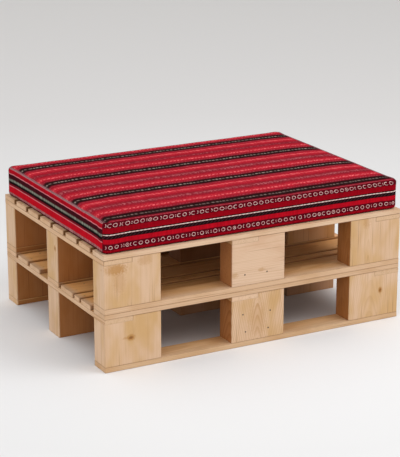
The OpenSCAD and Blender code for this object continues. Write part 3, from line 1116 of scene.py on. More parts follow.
@dataclass
class WovenFigures:
    """The raised yarn on the long borders: two rows of rings and a twisted line."""
    cover: Object
    edge_z: float = 0.485
    starts: tuple[float, ...] = (2.0, 6.0)
    run: float = 1.0974
    lead: float = 0.0035
    yarn: float = 0.00095
    yarn_corners: int = 5
    flatten: float = 0.32
    lift: float = 0.0002
    seed: int = 7
    most_turn: float = 0.10
    smallest: Point = (0.90, 0.90, 1.0)
    largest: Point = (1.08, 1.06, 1.0)
    line_depth: float = 0.039
    line_steps: int = 270
    line_margin: float = 0.001
    line_corners: int = 6
    line_flatten: float = 0.5
    line_lift: float = 0.0001
    strand_step: float = 0.0022
    strand: float = 0.0010
    twist_pitch: float = 0.027
    twist_radius: float = 0.0008
    rows: tuple[RingRow, ...] = (
        RingRow(")CO)(O:OO:%O)OO:CO)C)OC)OO:OCO(OOOOC:O(OOOOCOOO%OO%O(OCOOC:CO",
                0.0084, 0.0070, 0.0053),
        RingRow(")OO):%(COOO)OO:OC:)O:O:(:O:OO%O(OC%OCC:OOO(O)OO%CO%OO:OOOO:OOO:%",
                0.0790, 0.0064, 0.0053))

    def figure_points(self) -> Mesh:
        """Sets out the figures on the flat borders.

        Returns:
            A mesh with one point for each figure, and its kind and size.
        """
        points, kinds, sizes = [], [], []
        letters = {motif.value[0]: (number, motif.value[1]) for number, motif in enumerate(Motif)}
        for start in self.starts:
            for row in self.rows:
                along = self.lead
                for letter in row.draft:
                    kind, advance = letters[letter]
                    half = advance * MM / 2
                    along += half
                    if along + half < self.run:
                        points.append((start + along, self.edge_z - row.depth, 0.0))
                        kinds.append(kind)
                        sizes.append((row.length, row.width, 1.0))
                    along += half
        mesh = mesh_of("figure_points", points)
        note(mesh, "kind", "INT", kinds)
        note(mesh, "size", "FLOAT_VECTOR", sizes)
        return mesh

    def lay_on_cover(self, g: ShapeGraph, tubes: Wire, flatten: float, lift: float,
                     cloth: Wire) -> Wire:
        """Flattens yarn tubes and bends them onto the cover by the cover's own UV map.

        Args:
            g: the tree.
            tubes: the work, with its place on the border as x and y.
            flatten: how thick it stays, as a share.
            lift: how far the flat work's own plane stands off the cloth.
            cloth: the cover, as an object input.

        Returns:
            The bent work.
        """
        flat = g.transform(tubes, Scale=(1.0, 1.0, flatten))
        surface = g.get("ObjectInfo", {"Object": cloth}, "Geometry")
        uv = g.read("cloth", "FLOAT_VECTOR")
        x, y, z = g.split(g.get("InputPosition"))
        place, normal = (g.add("SampleUVSurface", {
            "Mesh": surface, "Value": g.get(source), "UV Map": uv, "Sample UV": g.join(x, y)},
            data_type="FLOAT_VECTOR") for source in ("InputPosition", "InputNormal"))
        rise = g.scaled(Wire(g, normal.outputs[0]), z + lift)
        missed = g.get("FunctionNodeBooleanMath", {0: Wire(g, normal.outputs["Is Valid"])},
                       operation="NOT")
        kept = g.add("CaptureAttribute", {"Geometry": flat})
        kept.capture_items.new("BOOLEAN", "missed")
        g.put(missed, kept.inputs["missed"])
        bent = g.get("SetPosition", {"Geometry": Wire(g, kept.outputs["Geometry"]),
                                     "Position": g.vector("ADD", Wire(g, place.outputs[0]), rise)})
        return g.get("DeleteGeometry", {"Geometry": bent,
                                        "Selection": Wire(g, kept.outputs["missed"])})

    def figure_shape(self, g: ShapeGraph, motif: Motif) -> Wire:
        """Draws one figure of unit size.

        Args:
            g: the tree.
            motif: the figure.

        Returns:
            Its curves.
        """
        strokes = []
        for start, sweep, corners, (wide, tall), (x, y) in motif.value[2:]:
            size = {"Resolution": corners, "Radius": 1.0}
            line = (g.get("CurvePrimitiveCircle", size) if sweep == 360 else
                    g.get("CurveArc", size | {"Start Angle": math.radians(start),
                                              "Sweep Angle": math.radians(sweep)}))
            strokes.append(g.transform(line, Translation=(x, y, 0.0), Scale=(wide, tall, 1.0)))
        return g.get("JoinGeometry", {0: strokes})

    def ring_tree(self) -> ShapeGraph:
        """Builds the tree that sets a yarn figure at each point and bends all onto the cover.

        Returns:
            The tree.
        """
        g = ShapeGraph("woven_figures")
        thick, cloth = g.given("Yarn Half Width"), g.given("Cover", "Object")
        finish, seed = g.given("Finish", "Material"), g.given("Seed", "Int")
        kind, size = g.read("kind", "INT"), g.read("size", "FLOAT_VECTOR")
        turn = g.get("FunctionNodeRandomValue", {
            2: -self.most_turn, 3: self.most_turn, "Seed": seed}, 1, data_type="FLOAT")
        uneven = g.get("FunctionNodeRandomValue", {
            0: self.smallest, 1: self.largest, "Seed": seed}, data_type="FLOAT_VECTOR")
        rotation = g.get("FunctionNodeEulerToRotation", {0: g.join(0.0, 0.0, turn)})
        scale = g.vector("MULTIPLY", size, uneven)
        placed = [g.get("InstanceOnPoints", {
            "Points": g.guide, "Instance": self.figure_shape(g, motif), "Rotation": rotation,
            "Scale": scale, "Selection": g.get("FunctionNodeCompare", {2: kind, 3: number},
                                               data_type="INT", operation="EQUAL")})
            for number, motif in enumerate(Motif)]
        curves = g.get("RealizeInstances", {0: g.get("JoinGeometry", {0: placed})})
        tubes = g.tube(curves, thick, self.yarn_corners)
        g.close(g.smooth(self.lay_on_cover(g, tubes, self.flatten, self.lift, cloth)), finish)
        return g

    def line_tree(self) -> ShapeGraph:
        """Builds the tree that twists two strands about each guide line.

        Returns:
            The tree.
        """
        g = ShapeGraph("twisted_line")
        thick, cloth = g.given("Strand Radius"), g.given("Cover", "Object")
        pitch, reach = g.given("Twist Pitch"), g.given("Twist Radius")
        finish = g.given("Finish", "Material")
        path = g.get("MeshToCurve", {"Mesh": g.guide})
        even = g.get("ResampleCurve", {"Curve": path, "Length": self.strand_step}, mode="LENGTH")
        angle = g.get("SplineParameter", output="Length") / pitch * TURN
        strands = []
        for phase in (0.0, math.pi):
            y, z = (g.maths(step, angle + phase) * reach for step in ("COSINE", "SINE"))
            strands.append(g.get("SetPosition", {"Geometry": even, "Offset": g.join(0.0, y, z)}))
        tubes = g.tube(g.get("JoinGeometry", {0: strands}), thick, self.line_corners)
        laid = self.lay_on_cover(g, tubes, self.line_flatten, self.line_lift, cloth)
        g.close(g.smooth(laid), finish)
        return g

    def weave_in(self) -> None:
        """Makes the rings and the twisted lines, which ride with the cushion."""
        pale = YarnFinish(rgb(252, 222, 213), rgb(206, 146, 146)).make("yarn_pink_white")
        white = YarnFinish(rgb(250, 232, 224), rgb(222, 184, 176)).make("yarn_white")
        rings = self.ring_tree().grow("cushion_woven_rings", self.figure_points(), {
            "Yarn Half Width": self.yarn, "Cover": self.cover, "Finish": pale, "Seed": self.seed})
        first, length = self.line_margin, self.run - 2 * self.line_margin
        paths = [[(start + first + length * k / self.line_steps, self.edge_z - self.line_depth, 0.0)
                  for k in range(self.line_steps + 1)] for start in self.starts]
        lines = self.line_tree().grow("cushion_twisted_lines", line_mesh(paths), {
            "Strand Radius": self.strand, "Cover": self.cover, "Twist Pitch": self.twist_pitch,
            "Twist Radius": self.twist_radius, "Finish": white})
        for piece in (rings, lines):
            hand_over(piece, "cushion", "striped_cloth")


@dataclass(frozen=True)
class Fastener:
    """One kind of nail or screw: its head, its shank, and how it is turned from head up."""
    head: float
    height: float = 0.0012
    under: float = 1.0
    shank: float = 0.00155
    turn: Point = (0.0, 0.0, 0.0)
    head_corners: int = 14
    shank_corners: int = 8
    dome_share: float = 0.82
    dome_rise: float = 0.05
    point_share: float = 0.1

    def tree(self) -> ShapeGraph:
        """Builds the tree that sets a domed head and a pointed shank on each point.

        Returns:
            The tree.
        """
        g = ShapeGraph("fasteners")
        radius, height = g.given("Head Radius"), g.given("Head Height")
        under, shank = g.given("Under Radius"), g.given("Shank Radius")
        turn, finish = g.given("Turn", "Vector"), g.given("Finish", "Material")
        sunk = g.join(0.0, 0.0, height * -1.0)
        corners, straight = self.shank_corners, 1 - self.point_share
        head = g.transform(g.cone(self.head_corners, radius, under, height), Translation=sunk)
        dome = g.cone(self.head_corners, radius * self.dome_share, radius, radius * self.dome_rise)
        stick = g.get("MeshCylinder", {"Vertices": corners, "Radius": shank, "Depth": straight},
                      "Mesh")
        point = g.transform(g.cone(corners, 0.0, shank, self.point_share),
                            Rotation=(math.pi, 0, 0), Translation=(0, 0, -straight))
        body = [g.transform(stick, Translation=(0, 0, -straight / 2)), point]
        common = {"Points": g.guide, "Rotation": g.get("FunctionNodeEulerToRotation", {0: turn})}
        placed = [g.get("InstanceOnPoints", common | {
            "Instance": g.get("JoinGeometry", {0: parts}), "Scale": scale})
            for parts, scale in (([head, dome], (1.0, 1.0, 1.0)),
                                 (body, g.join(1.0, 1.0, g.read("length"))))]
        g.close(g.get("JoinGeometry", {0: placed}), finish)
        return g

    def drive(self, name: str, node: str, places: list[Point], lengths: list[float],
              steel: Material) -> None:
        """Makes one set and lets it stand for its CAD node.

        Args:
            name: the piece's name.
            node: the CAD node that it replaces.
            places: where each head's outer face is.
            lengths: how long each one is.
            steel: their finish.
        """
        guide = mesh_of(name, places)
        note(guide, "length", "FLOAT", lengths)
        piece = self.tree().grow(name, guide, {
            "Head Radius": self.head, "Head Height": self.height, "Shank Radius": self.shank,
            "Under Radius": self.head * self.under, "Turn": self.turn, "Finish": steel})
        hand_over(piece, "pallets", "nail_steel", node)


def mark(x: float, z: float, *shape: object) -> Knot:
    """Sets a knot or a patch in a front face."""
    return Knot((x, FRONT_Y, z), *shape)


@dataclass
class PalletStack:
    """Two pallets, one on the other: CAD boards in new wood, with driven nails and screws."""
    nail_set: float = 0.0004
    short_nail: float = 0.029
    long_nail: float = 0.070
    bottom_nail: float = 0.056
    face_nail: float = 0.045
    screw: float = 0.031
    nail_head: float = 0.0034
    face_head: float = 0.0026
    screw_head: float = 0.0038
    screw_height: float = 0.003
    screw_under: float = 0.5
    screw_places: tuple[float, float, float] = (0.226, 0.0717, 0.36)
    face_proud: float = 0.0003
    screw_set: float = 0.0001
    nail_share: float = 0.25
    block_share: float = 0.32
    slat_thick: float = 0.016
    face_nails: tuple[tuple[float, float], ...] = (
        (-0.0568, 0.1106), (0.0459, 0.1089), (-0.0466, 0.0496), (0.0388, 0.0496),
        (-0.0506, 0.2457), (0.0319, 0.2444))
    # painted shade that multiplies a block's wood inside the pallets, and deeper in
    block_inner: Colour = (0.57, 0.335, 0.155, 1.0)
    block_deep_shade: Colour = (0.50, 0.46, 0.42, 1.0)
    seed_step: float = 7.3
    spread_step: float = 0.61803
    tone_step: float = 0.41421

    def block_wood(self, seed: float, pith: tuple[float, float], *knots: Knot,
                   **rest: object) -> WoodFinish:
        """Describes a block's wood: upright, with painted shade inside the pallets, unless the rest
        says otherwise.
        """
        return WoodFinish(seed=seed, pith=pith, knots=knots, **({
            "grain": Grain.UPRIGHT, "taper": 0.006, "sway": 0.012, "ring_depth": 0.22,
            "inner": self.block_inner, "deep": self.block_deep_shade} | rest))

    def named_blocks(self) -> dict[str, WoodFinish]:
        """Describes the blocks whose own figure shows: knots, arches and one board on its side;
        also those whose painted shade differs.

        Returns:
            The wood of each such block.
        """
        wood = self.block_wood
        # painted shade: blocks deep in the lower pallet get a darker, greyer inside and fainter
        # rings
        shaded_faint_rings = {"inner": (0.70, 0.54, 0.43, 1.0), "deep": (0.66, 0.64, 0.62, 1.0),
                "ring_depth": 0.15}
        hidden = {"lower_block_middle_middle": 83.0, "lower_block_middle_right": 87.0,
                  "lower_block_back_middle": 91.0}
        return {name: wood(seed, (0.16, 0.02), **shaded_faint_rings) for name, seed in hidden.items()} | {
            # painted shade: this block's inside is painted lighter than other blocks'
            "upper_block_middle_right": wood(97.0, (0.15, 0.03), ring_depth=0.30, inner=(
                0.86, 0.68, 0.48, 1.0), deep=(0.9, 0.88, 0.85, 1.0)),
            "lower_block_front_left": wood(
                11.0, (0.17, 0.03), mark(-0.4604, 0.1044, 0.0138, 0.9, 0.7),
                mark(-0.4790, 0.1056, 0.0080, 0.45, 0.5, True)),
            "lower_block_front_middle": wood(
                23.0, (-0.002, -0.027), mark(-0.002, 0.086, 0.030, 0.30, 1.9, True), taper=0.17,
                sway=0.018, ring_pitch=0.0066, ring_depth=0.58, late=rgb(190, 142, 86)),
            "lower_block_front_right": wood(
                31.0, (-0.014, 0.004), mark(0.4784, 0.1071, 0.0072, 1.0, 1.5), taper=0.11,
                sway=0.018, ring_pitch=0.0065),
            "upper_block_front_left": wood(
                43.0, (0.20, 0.02), mark(-0.508, 0.336, 0.034, 0.72, 0.5, True),
                mark(-0.500, 0.338, 0.010, 0.25, 0.8, True),
                mark(-0.409, 0.352, 0.022, 0.38, 0.7, True),
                mark(-0.498, 0.295, 0.020, 0.34, 1.8, True), taper=0.004, ring_depth=0.24),
            "upper_block_front_middle": wood(
                57.0, (0.02, -0.09), mark(0.0112, 0.2542, 0.012, 0.4, 0.5, True),
                mark(-0.0891, 0.248, 0.012, 0.4, 0.7, True), grain=Grain.ALONG_X, taper=0.01,
                sway=0.016, ring_depth=0.20, pale=rgb(232, 197, 166), amber=rgb(222, 181, 148),
                tone=0.98),
            "upper_block_front_right": wood(
                61.0, (-0.027, -0.026), mark(0.4167, 0.3566, 0.012, 0.4, 1.8, True), taper=0.08,
                sway=0.014, ring_depth=0.30, tone=0.99),
            "upper_block_middle_left": wood(
                71.0, (0.15, 0.05), Knot((-0.55, -0.0252, 0.3053), 0.008, 0.8, 1.2))}

    def board_looks(self, node: str) -> dict[str, object]:
        """Says how a board's wood and its painted shade differ from the usual.

        Args:
            node: the board's CAD node.

        Returns:
            The fields of its finish that differ.
        """
        # Painted shade: the inside, deep and gap colours below multiply the wood inside the
        # pallets; parts above 1 paint warm bounce light.
        shaded = {"inner": (0.34, 0.24, 0.14, 1.0), "clear_above": 0.3836}
        back = {"gap": (0.62, 0.44, 0.30, 1.0)}
        middle = {"end_pale": rgb(230, 195, 163), "seam_depth": 0.35}
        looks = (
            ("upper_slat_1", shaded | {"pale": rgb(234, 200, 168), "amber": rgb(224, 186, 150)}),
            ("upper_slat", shaded),
            ("lower_slat", {"inner": (1.24, 1.02, 0.62, 1.0), "deep": (0.70, 0.67, 0.66, 1.0),
                            "inner_reach": 0.03, "gap": (0.46, 0.38, 0.32, 1.0)}),
            ("upper_bottom_board_front", {"inner": (0.95, 0.80, 0.55, 1.0), "inner_reach": 0.05}),
            ("lower_bottom_board_front", {
                "pale": rgb(221, 184, 145), "amber": rgb(211, 168, 124),
                "inner": (1.06, 0.95, 0.76, 1.0), "inner_reach": 0.06}),
            ("lower_bottom_board_back", back | {
                "pale": WoodFinish.pale, "amber": WoodFinish.amber, "seam_depth": 0.1}),
            ("upper_bottom_board_back", back),
            ("lower_stringer_middle", middle),
            ("upper_stringer_middle", middle),
            ("lower_stringer", {"end_pale": rgb(222, 186, 150), "seam_depth": 0.2}),
            ("upper_stringer", {"end_pale": rgb(222, 186, 150), "seam_depth": 0.8}))
        return next((look for start, look in looks if node.startswith(start)), {})

    def wood_for(self, node: str, number: int) -> WoodFinish:
        """Chooses the wood of one board.

        Args:
            node: the board's CAD node.
            number: its place in the list, which seeds its figure.

        Returns:
            The wood.
        """
        spread, again = number * self.spread_step % 1.0, number * self.tone_step % 1.0
        seed, tone = number * self.seed_step, 0.95 + 0.1 * again
        if "block" in node:
            side = -1.0 if again < 0.5 else 1.0
            pith = (side * (0.15 + 0.1 * spread), 0.02 - 0.05 * again)
            return self.named_blocks().get(node) or self.block_wood(seed, pith, tone=tone)
        grain = Grain.ALONG_Y if "stringer" in node else Grain.ALONG_X
        usual = {"pale": rgb(227, 189, 153), "amber": rgb(215, 173, 132), "grain": grain,
                 "pith": (-0.03 + 0.06 * spread, -0.05 - 0.08 * again), "taper": 0.012,
                 "seed": seed, "tone": tone}
        return WoodFinish(**(usual | self.board_looks(node)))

    def dress_boards(self) -> None:
        """Gives every board, block, stringer and slat its own wood."""
        nodes = [node for node in frame["record"]["behaviour"]["bodies"]["pallets"]
                 if "nails" not in node and "screws" not in node]
        for number, node in enumerate(nodes, 1):
            self.wood_for(node, number).dress(node)

    def middle(self, node: str) -> tuple[Vector, Vector]:
        """Gives a node's centre and size."""
        low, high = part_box(node)
        return (low + high) / 2, high - low

    def deck_points(self, tier: str) -> tuple[list[Point], list[float]]:
        """Finds the nails that hold one deck's slats.

        Args:
            tier: lower or upper.

        Returns:
            The places of the heads' tops, and how long each nail is.
        """
        places, lengths = [], []
        blocks = [self.middle(n) for n in frame["nodes"] if n.startswith(tier + "_block")]
        for slat in range(1, 9):
            slat_at, slat_size = self.middle(f"{tier}_slat_{slat}")
            for side in ("left", "middle", "right"):
                at, size = self.middle(f"{tier}_stringer_{side}")
                for turn in (-1, 1):
                    x = at.x + turn * self.nail_share * size.x
                    y = slat_at.y + turn * self.nail_share * slat_size.y
                    z = slat_at.z + slat_size.z / 2 - self.nail_set
                    over = any(abs(x - b.x) < s.x / 2 and abs(y - b.y) < s.y / 2 for b, s in blocks)
                    places.append((x, y, z))
                    lengths.append(self.long_nail if over else self.short_nail)
        return places, lengths

    def bottom_points(self, tier: str) -> list[Point]:
        """Finds the nails that hold one pallet's bottom boards to its blocks.

        Args:
            tier: lower or upper.

        Returns:
            The places of the heads' undersides, which face down.
        """
        places = []
        for row in ("front", "back"):
            board, size = self.middle(f"{tier}_bottom_board_{row}")
            z = board.z - size.z / 2 + self.nail_set
            for side in ("left", "middle", "right"):
                block, block_size = self.middle(f"{tier}_block_{row}_{side}")
                places += [(block.x + along * self.block_share * block_size.x,
                            board.y + across * self.nail_share * size.y, z)
                           for along in (-1, 1) for across in (-1, 1)]
        return places

    def drive_fasteners(self) -> None:
        """Makes every nail and screw."""
        steel = SteelFinish(rgb(206, 176, 132), rgb(176, 142, 98), 0.5, 0.6).make("nail_steel")
        dark = SteelFinish(rgb(104, 90, 80), rgb(58, 44, 36), 0.6, 0.5).make("nail_steel_dark")
        zinc = SteelFinish(rgb(188, 180, 160), rgb(140, 128, 100), 0.3).make("screw_zinc")
        down = (math.pi, 0, 0)
        for tier in ("lower", "upper"):
            places, lengths = self.deck_points(tier)
            Fastener(self.nail_head).drive(f"nails_{tier}_deck", f"{tier}_deck_nails", places,
                                           lengths, steel)
            places = self.bottom_points(tier)
            Fastener(self.nail_head, turn=down).drive(
                f"nails_{tier}_bottom", f"{tier}_bottom_nails", places,
                [self.bottom_nail] * len(places), steel)
        places = [(x, FRONT_Y - self.face_proud, z) for x, z in self.face_nails]
        Fastener(self.face_head, turn=(math.pi / 2, 0, 0)).drive(
            "nails_block_faces", "block_face_nails", places, [self.face_nail] * len(places), dark)
        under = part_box("lower_slat_1")[1].z - self.slat_thick + self.screw_set
        bay, off, y = self.screw_places
        places = [(i * bay + j * off, k * y, under) for k in (-1, 1) for i in (-1, 1)
                  for j in (-1, 1)]
        Fastener(self.screw_head, self.screw_height, self.screw_under, turn=down).drive(
            "screws_tiers", "tier_screws", places, [self.screw] * len(places), zinc)


@dataclass
class BoxCushion:
    """A box in a cover of four panels, for the cushion and for the foam in it."""
    half_x: float = 0.546
    half_y: float = 0.394
    base_z: float = 0.384
    edge_z: float = 0.485
    crown: float = 0.005
    crown_powers: tuple[int, int] = (6, 4)
    corner: float = 0.026
    top_round: float = 0.012
    bottom_round: float = 0.014
    draw: float = 0.003
    draw_run: float = 0.040
    columns: int = 136
    rows: int = 98
    round_steps: int = 4
    arc_steps: int = 24
    side_steps: int = 200
    slot_half_x: float = 0.378
    slot_z: tuple[float, float] = (0.4285, 0.4405)
    slot_depth: float = 0.0012
    zip_z: float = 0.4345
    zip_calm_x: float = 0.46
    back_y: float = 0.37
    wander_above: float = 0.47
    pucker_below: float = 0.48
    pressure: float = 4.0
    frames: int = 20
    cap: float = 0.0035
    base_still: float = 0.004
    base_run: float = 0.012
    seam_at_share: float = 0.3
    seam_run: float = 0.02
    seam_least: float = 0.12
    corner_run: float = 0.06
    corner_least: float = 0.15
    zip_still_y: float = 0.02
    zip_still_z: float = 0.010
    zip_run: float = 0.02
    wander: float = 0.0008
    waves: tuple[tuple[float, ...], ...] = (
        (0.5, 31, 0, 1.3), (0.35, 67, 23, 0), (0.3, 0, 47, 2.1), (0.25, 113, -71, 0.4))
    pucker: float = 0.0007
    pucker_run: float = 0.012
    puckers: tuple[tuple[float, ...], ...] = ((170, 150, 3, 40, 0.474), (150, 160, 2, 33, 0.396))
    side_shift: float = 2.0
    corner_step: int = 7
    seam_radius: float = 0.0008
    seam_corners: int = 8
    piping_radius: float = 0.0017
    foam_inset: float = 0.008
    foam_rise: float = 0.004
    foam_drop: float = 0.005
    border_z: tuple[float, ...] = (0.398, 0.405, 0.412, 0.420, 0.4275, 0.4285, 0.4345, 0.4405,
                                   0.4415, 0.449, 0.457, 0.465, 0.473)

    @property
    def folds(self) -> tuple[int, int]:
        """Gives the rings at which the border meets the underside and the top."""
        return self.round_steps // 2, 2 * self.round_steps + len(self.border_z) - 2

    def outline(self, inset: float) -> tuple[np.ndarray, np.ndarray]:
        """Walks round the cushion's plan, starting at the front left corner.

        Args:
            inset: how far inside the outline to walk.

        Returns:
            The points, one for each mesh column, and their outward directions.
        """
        a, b, r = self.half_x - inset, self.half_y - inset, self.corner - inset
        steps, cut = self.arc_steps, self.corner_step
        corners = ((-1, -1), (1, -1), (1, 1), (-1, 1))

        def on_arc(turn: int, k: int) -> tuple[float, float]:
            """Gives a point on one rounded corner."""
            (x, y), t = corners[turn], math.radians(180 + 90 * (turn + k / steps))
            return x * (a - r) + r * math.cos(t), y * (b - r) + r * math.sin(t)

        dense, marks = [], []
        for i in range(4):
            marks.append(0 if i == 0 else len(dense) + (steps - cut if i % 2 else cut))
            dense += [on_arc(i, k) for k in range(0 if i else cut, steps + 1)]
            (x0, y0), (x1, y1) = dense[-1], on_arc((i + 1) % 4, 0)
            run = math.hypot(x1 - x0, y1 - y0)
            for k in range(1, self.side_steps):
                t = k / self.side_steps
                near = min(1.0, min(t, 1 - t) * run / self.draw_run)
                pull = self.draw * (near ** 2 * (3 - 2 * near)) / run
                dense.append((x0 + (x1 - x0) * t - (y1 - y0) * pull,
                              y0 + (y1 - y0) * t + (x1 - x0) * pull))
        dense += [on_arc(0, k) for k in range(cut + 1)]
        marks.append(len(dense) - 1)
        line = np.array(dense)
        run = np.concatenate([[0], np.cumsum(np.hypot(*np.diff(line, axis=0).T))])
        points = []
        for side, count in enumerate((self.columns, self.rows, self.columns, self.rows)):
            start_at, end_at = run[marks[side]], run[marks[side + 1]]
            at = start_at + (end_at - start_at) * np.arange(count) / count
            points.append(np.stack([np.interp(at, run, line[:, axis]) for axis in (0, 1)], 1))
        ring = np.concatenate(points)
        way = np.roll(ring, -1, 0) - np.roll(ring, 1, 0)
        out = np.stack([way[:, 1], -way[:, 0]], 1)
        return ring, out / np.linalg.norm(out, axis=1, keepdims=True)

    def ring_plan(self) -> list[tuple[float, float, float, float]]:
        """Lists the rings from the bottom field's rim to the top field's rim.

        Returns:
            For each ring its inset, its height, the arc from it to the top field, and its
            height on the flattened border.
        """
        quarter, r = math.pi / 2, self.bottom_round
        plan = []
        for k in range(self.round_steps):
            a = quarter - quarter * k / self.round_steps
            plan.append((r - r * math.cos(a), self.base_z + r - r * math.sin(a), 0.0,
                         self.base_z + r - r * a))
        plan += [(0.0, z, 0.0, z) for z in self.border_z]
        r = self.top_round
        for k in range(1, self.round_steps + 1):
            a = quarter * k / self.round_steps
            plan.append((r - r * math.cos(a), self.edge_z - r + r * math.sin(a),
                         r * (quarter - a), self.edge_z - r + r * a))
        return plan

    def field(self, ring: np.ndarray, z: float, crown: float) -> np.ndarray:
        """Fills a ring with a grid of points.

        Args:
            ring: the rim's points.
            z: the rim's height.
            crown: how far the middle rises.

        Returns:
            The grid, rows by columns by x, y, z.
        """
        m, n = self.columns, self.rows
        front = ring[:m + 1]
        right = ring[m:m + n + 1]
        back = ring[m + n:2 * m + n + 1][::-1]
        left = np.concatenate([ring[2 * m + n:], ring[:1]])[::-1]
        u = np.linspace(0, 1, m + 1)[None, :, None]
        v = np.linspace(0, 1, n + 1)[:, None, None]
        flat = ((1 - v) * front[None] + v * back[None] + (1 - u) * left[:, None]
                + u * right[:, None] - (1 - u) * (1 - v) * front[0] - u * (1 - v) * front[-1]
                - (1 - u) * v * back[0] - u * v * back[-1])
        power_x, power_y = self.crown_powers
        rise = crown * ((1 - np.abs(2 * u - 1) ** power_x) * (1 - np.abs(2 * v - 1) ** power_y))
        height = np.broadcast_to(z + rise, flat.shape[:2] + (1,))
        return np.concatenate([flat, height], 2)

    def build(self, name: str) -> Object:
        """Builds the closed box as one mesh, with a panel's number and a UV place for each face.

        Args:
            name: the piece's name.

        Returns:
            The piece, before it is filled.
        """
        m, n = self.columns, self.rows
        plan, (fold_bottom, fold_top) = self.ring_plan(), self.folds
        count, spans = 2 * (m + n), np.cumsum([0, m, n, m, n])
        top_panel, long_panel, end_panel, low_panel = range(len(Panel))
        rings = [np.concatenate([self.outline(inset)[0], np.full((count, 1), z)], 1)
                 for inset, z, _, _ in plan]
        rim_top, out_top = self.outline(plan[-1][0])
        points = np.concatenate(rings)
        faces, panels, uvs = [], [], []
        ring = self.outline(0.0)[0]
        closed = np.concatenate([ring, ring[:1]])
        run = np.concatenate([[0], np.cumsum(np.hypot(*np.diff(closed, axis=0).T))])
        for i in range(len(plan) - 1):
            for side in range(4):
                for j in range(spans[side], spans[side + 1]):
                    quad = ((i, j), (i, j + 1), (i + 1, j + 1), (i + 1, j))
                    faces.append(tuple(r * count + c % count for r, c in quad))
                    if i >= fold_top:
                        panels.append(top_panel)
                        uvs += [rim_top[c % count] + out_top[c % count] * plan[r][2]
                                for r, c in quad]
                    elif i < fold_bottom:
                        panels.append(low_panel)
                        uvs += [(rings[r][c % count][0], rings[r][c % count][1] - self.side_shift)
                                for r, c in quad]
                    else:
                        panels.append(end_panel if side % 2 else long_panel)
                        uvs += [(run[c] - run[spans[side]] + self.side_shift * (side + 1),
                                 plan[r][3]) for r, c in quad]
        fields = ((rim_top, self.crown, len(plan) - 1, top_panel, 0.0),
                  (self.outline(plan[0][0])[0], 0.0, 0, low_panel, self.side_shift))
        for rim, crown, at, panel, drop in fields:
            grid = self.field(rim, plan[at][1], crown)
            index, base = np.full((n + 1, m + 1), -1), at * count
            index[0, :] = base + np.arange(m + 1)
            index[:, m] = base + m + np.arange(n + 1)
            index[n, ::-1] = base + m + n + np.arange(m + 1)
            index[1:, 0] = (base + (2 * m + n + np.arange(n)) % count)[::-1]
            index[0, 0] = base
            index[1:n, 1:m] = np.arange((n - 1) * (m - 1)).reshape(n - 1, m - 1) + len(points)
            points = np.concatenate([points, grid[1:n, 1:m].reshape(-1, 3)])
            order = 1 if panel == top_panel else -1
            for r in range(n):
                for c in range(m):
                    corners = ((r, c), (r, c + 1), (r + 1, c + 1), (r + 1, c))[::order]
                    faces.append(tuple(int(index[q]) for q in corners))
                    panels.append(panel)
                    uvs += [(grid[q][0], grid[q][1] - drop) for q in corners]
        mesh = mesh_of(name, points, faces)
        mesh.polygons.foreach_set("material_index", panels)
        mesh.polygons.foreach_set("use_smooth", [True] * len(faces))
        mesh.uv_layers.new(name="cloth").data.foreach_set("uv", np.array(uvs, float).ravel())
        return put_in_scene(name, mesh)

    def freedom(self, points: np.ndarray) -> np.ndarray:
        """Says how far the filling may push each point of the cover.

        Args:
            points: the cover's points.

        Returns:
            One distance for each point, least at the seams, the corners and the zip.
        """
        x, y, z = points.T
        inside = np.clip((z - self.base_z - self.base_still) / self.base_run, 0, 1)
        upper, lower = (np.clip(np.abs(z - seam) / self.seam_run, self.seam_least, 1)
                        for seam in (self.edge_z - self.seam_at_share * self.top_round,
                                     self.base_z + self.seam_at_share * self.bottom_round))
        corner = np.clip(np.hypot(np.maximum(self.half_x - np.abs(x), 0),
                                  np.maximum(self.half_y - np.abs(y), 0)) / self.corner_run,
                         self.corner_least, 1)
        zip_near = (y > self.half_y - self.zip_still_y) & (np.abs(x) < self.zip_calm_x)
        zip_away = np.clip((np.abs(z - self.zip_z) - self.zip_still_z) / self.zip_run, 0, 1)
        return self.cap * inside * upper * lower * corner * np.where(zip_near, zip_away, 1.0)

    def inflate(self, cover: Object) -> None:
        """Fills the cover by a short cloth simulation, and keeps each point near its place.

        Args:
            cover: the cover, whose points move.
        """
        rest = points_of(cover.data)
        double = put_in_scene("cover_filling", cover.data.copy())
        held = double.vertex_groups.new(name="held")
        room = self.freedom(rest)
        held.add([int(i) for i in np.nonzero(room < 1e-5)[0]], 1.0, "REPLACE")
        cloth = double.modifiers.new("filling", "CLOTH")
        for key, value in {"quality": 4, "mass": 0.4, "use_pressure": True,
                           "uniform_pressure_force": self.pressure, "tension_stiffness": 30,
                           "compression_stiffness": 30, "bending_stiffness": 0.5,
                           "vertex_group_mass": "held"}.items():
            setattr(cloth.settings, key, value)
        cloth.settings.effector_weights.gravity = 0
        cloth.collision_settings.use_collision = False
        cloth.point_cache.frame_start, cloth.point_cache.frame_end = 1, self.frames
        scene = bpy.context.scene
        for number in range(1, self.frames + 1):
            scene.frame_set(number)
        graph = bpy.context.evaluated_depsgraph_get()
        push = points_of(bpy.data.meshes.new_from_object(double.evaluated_get(graph))) - rest
        size = np.linalg.norm(push, axis=1, keepdims=True)
        share = np.tanh(size / np.maximum(room[:, None], 1e-6)) * room[:, None]
        bpy.data.objects.remove(double)
        scene.frame_set(1)
        move_points(cover.data, rest + push / np.maximum(size, 1e-9) * share)
        log.info("filled the cover: moved %.1f mm at most", float(share.max()) / MM)

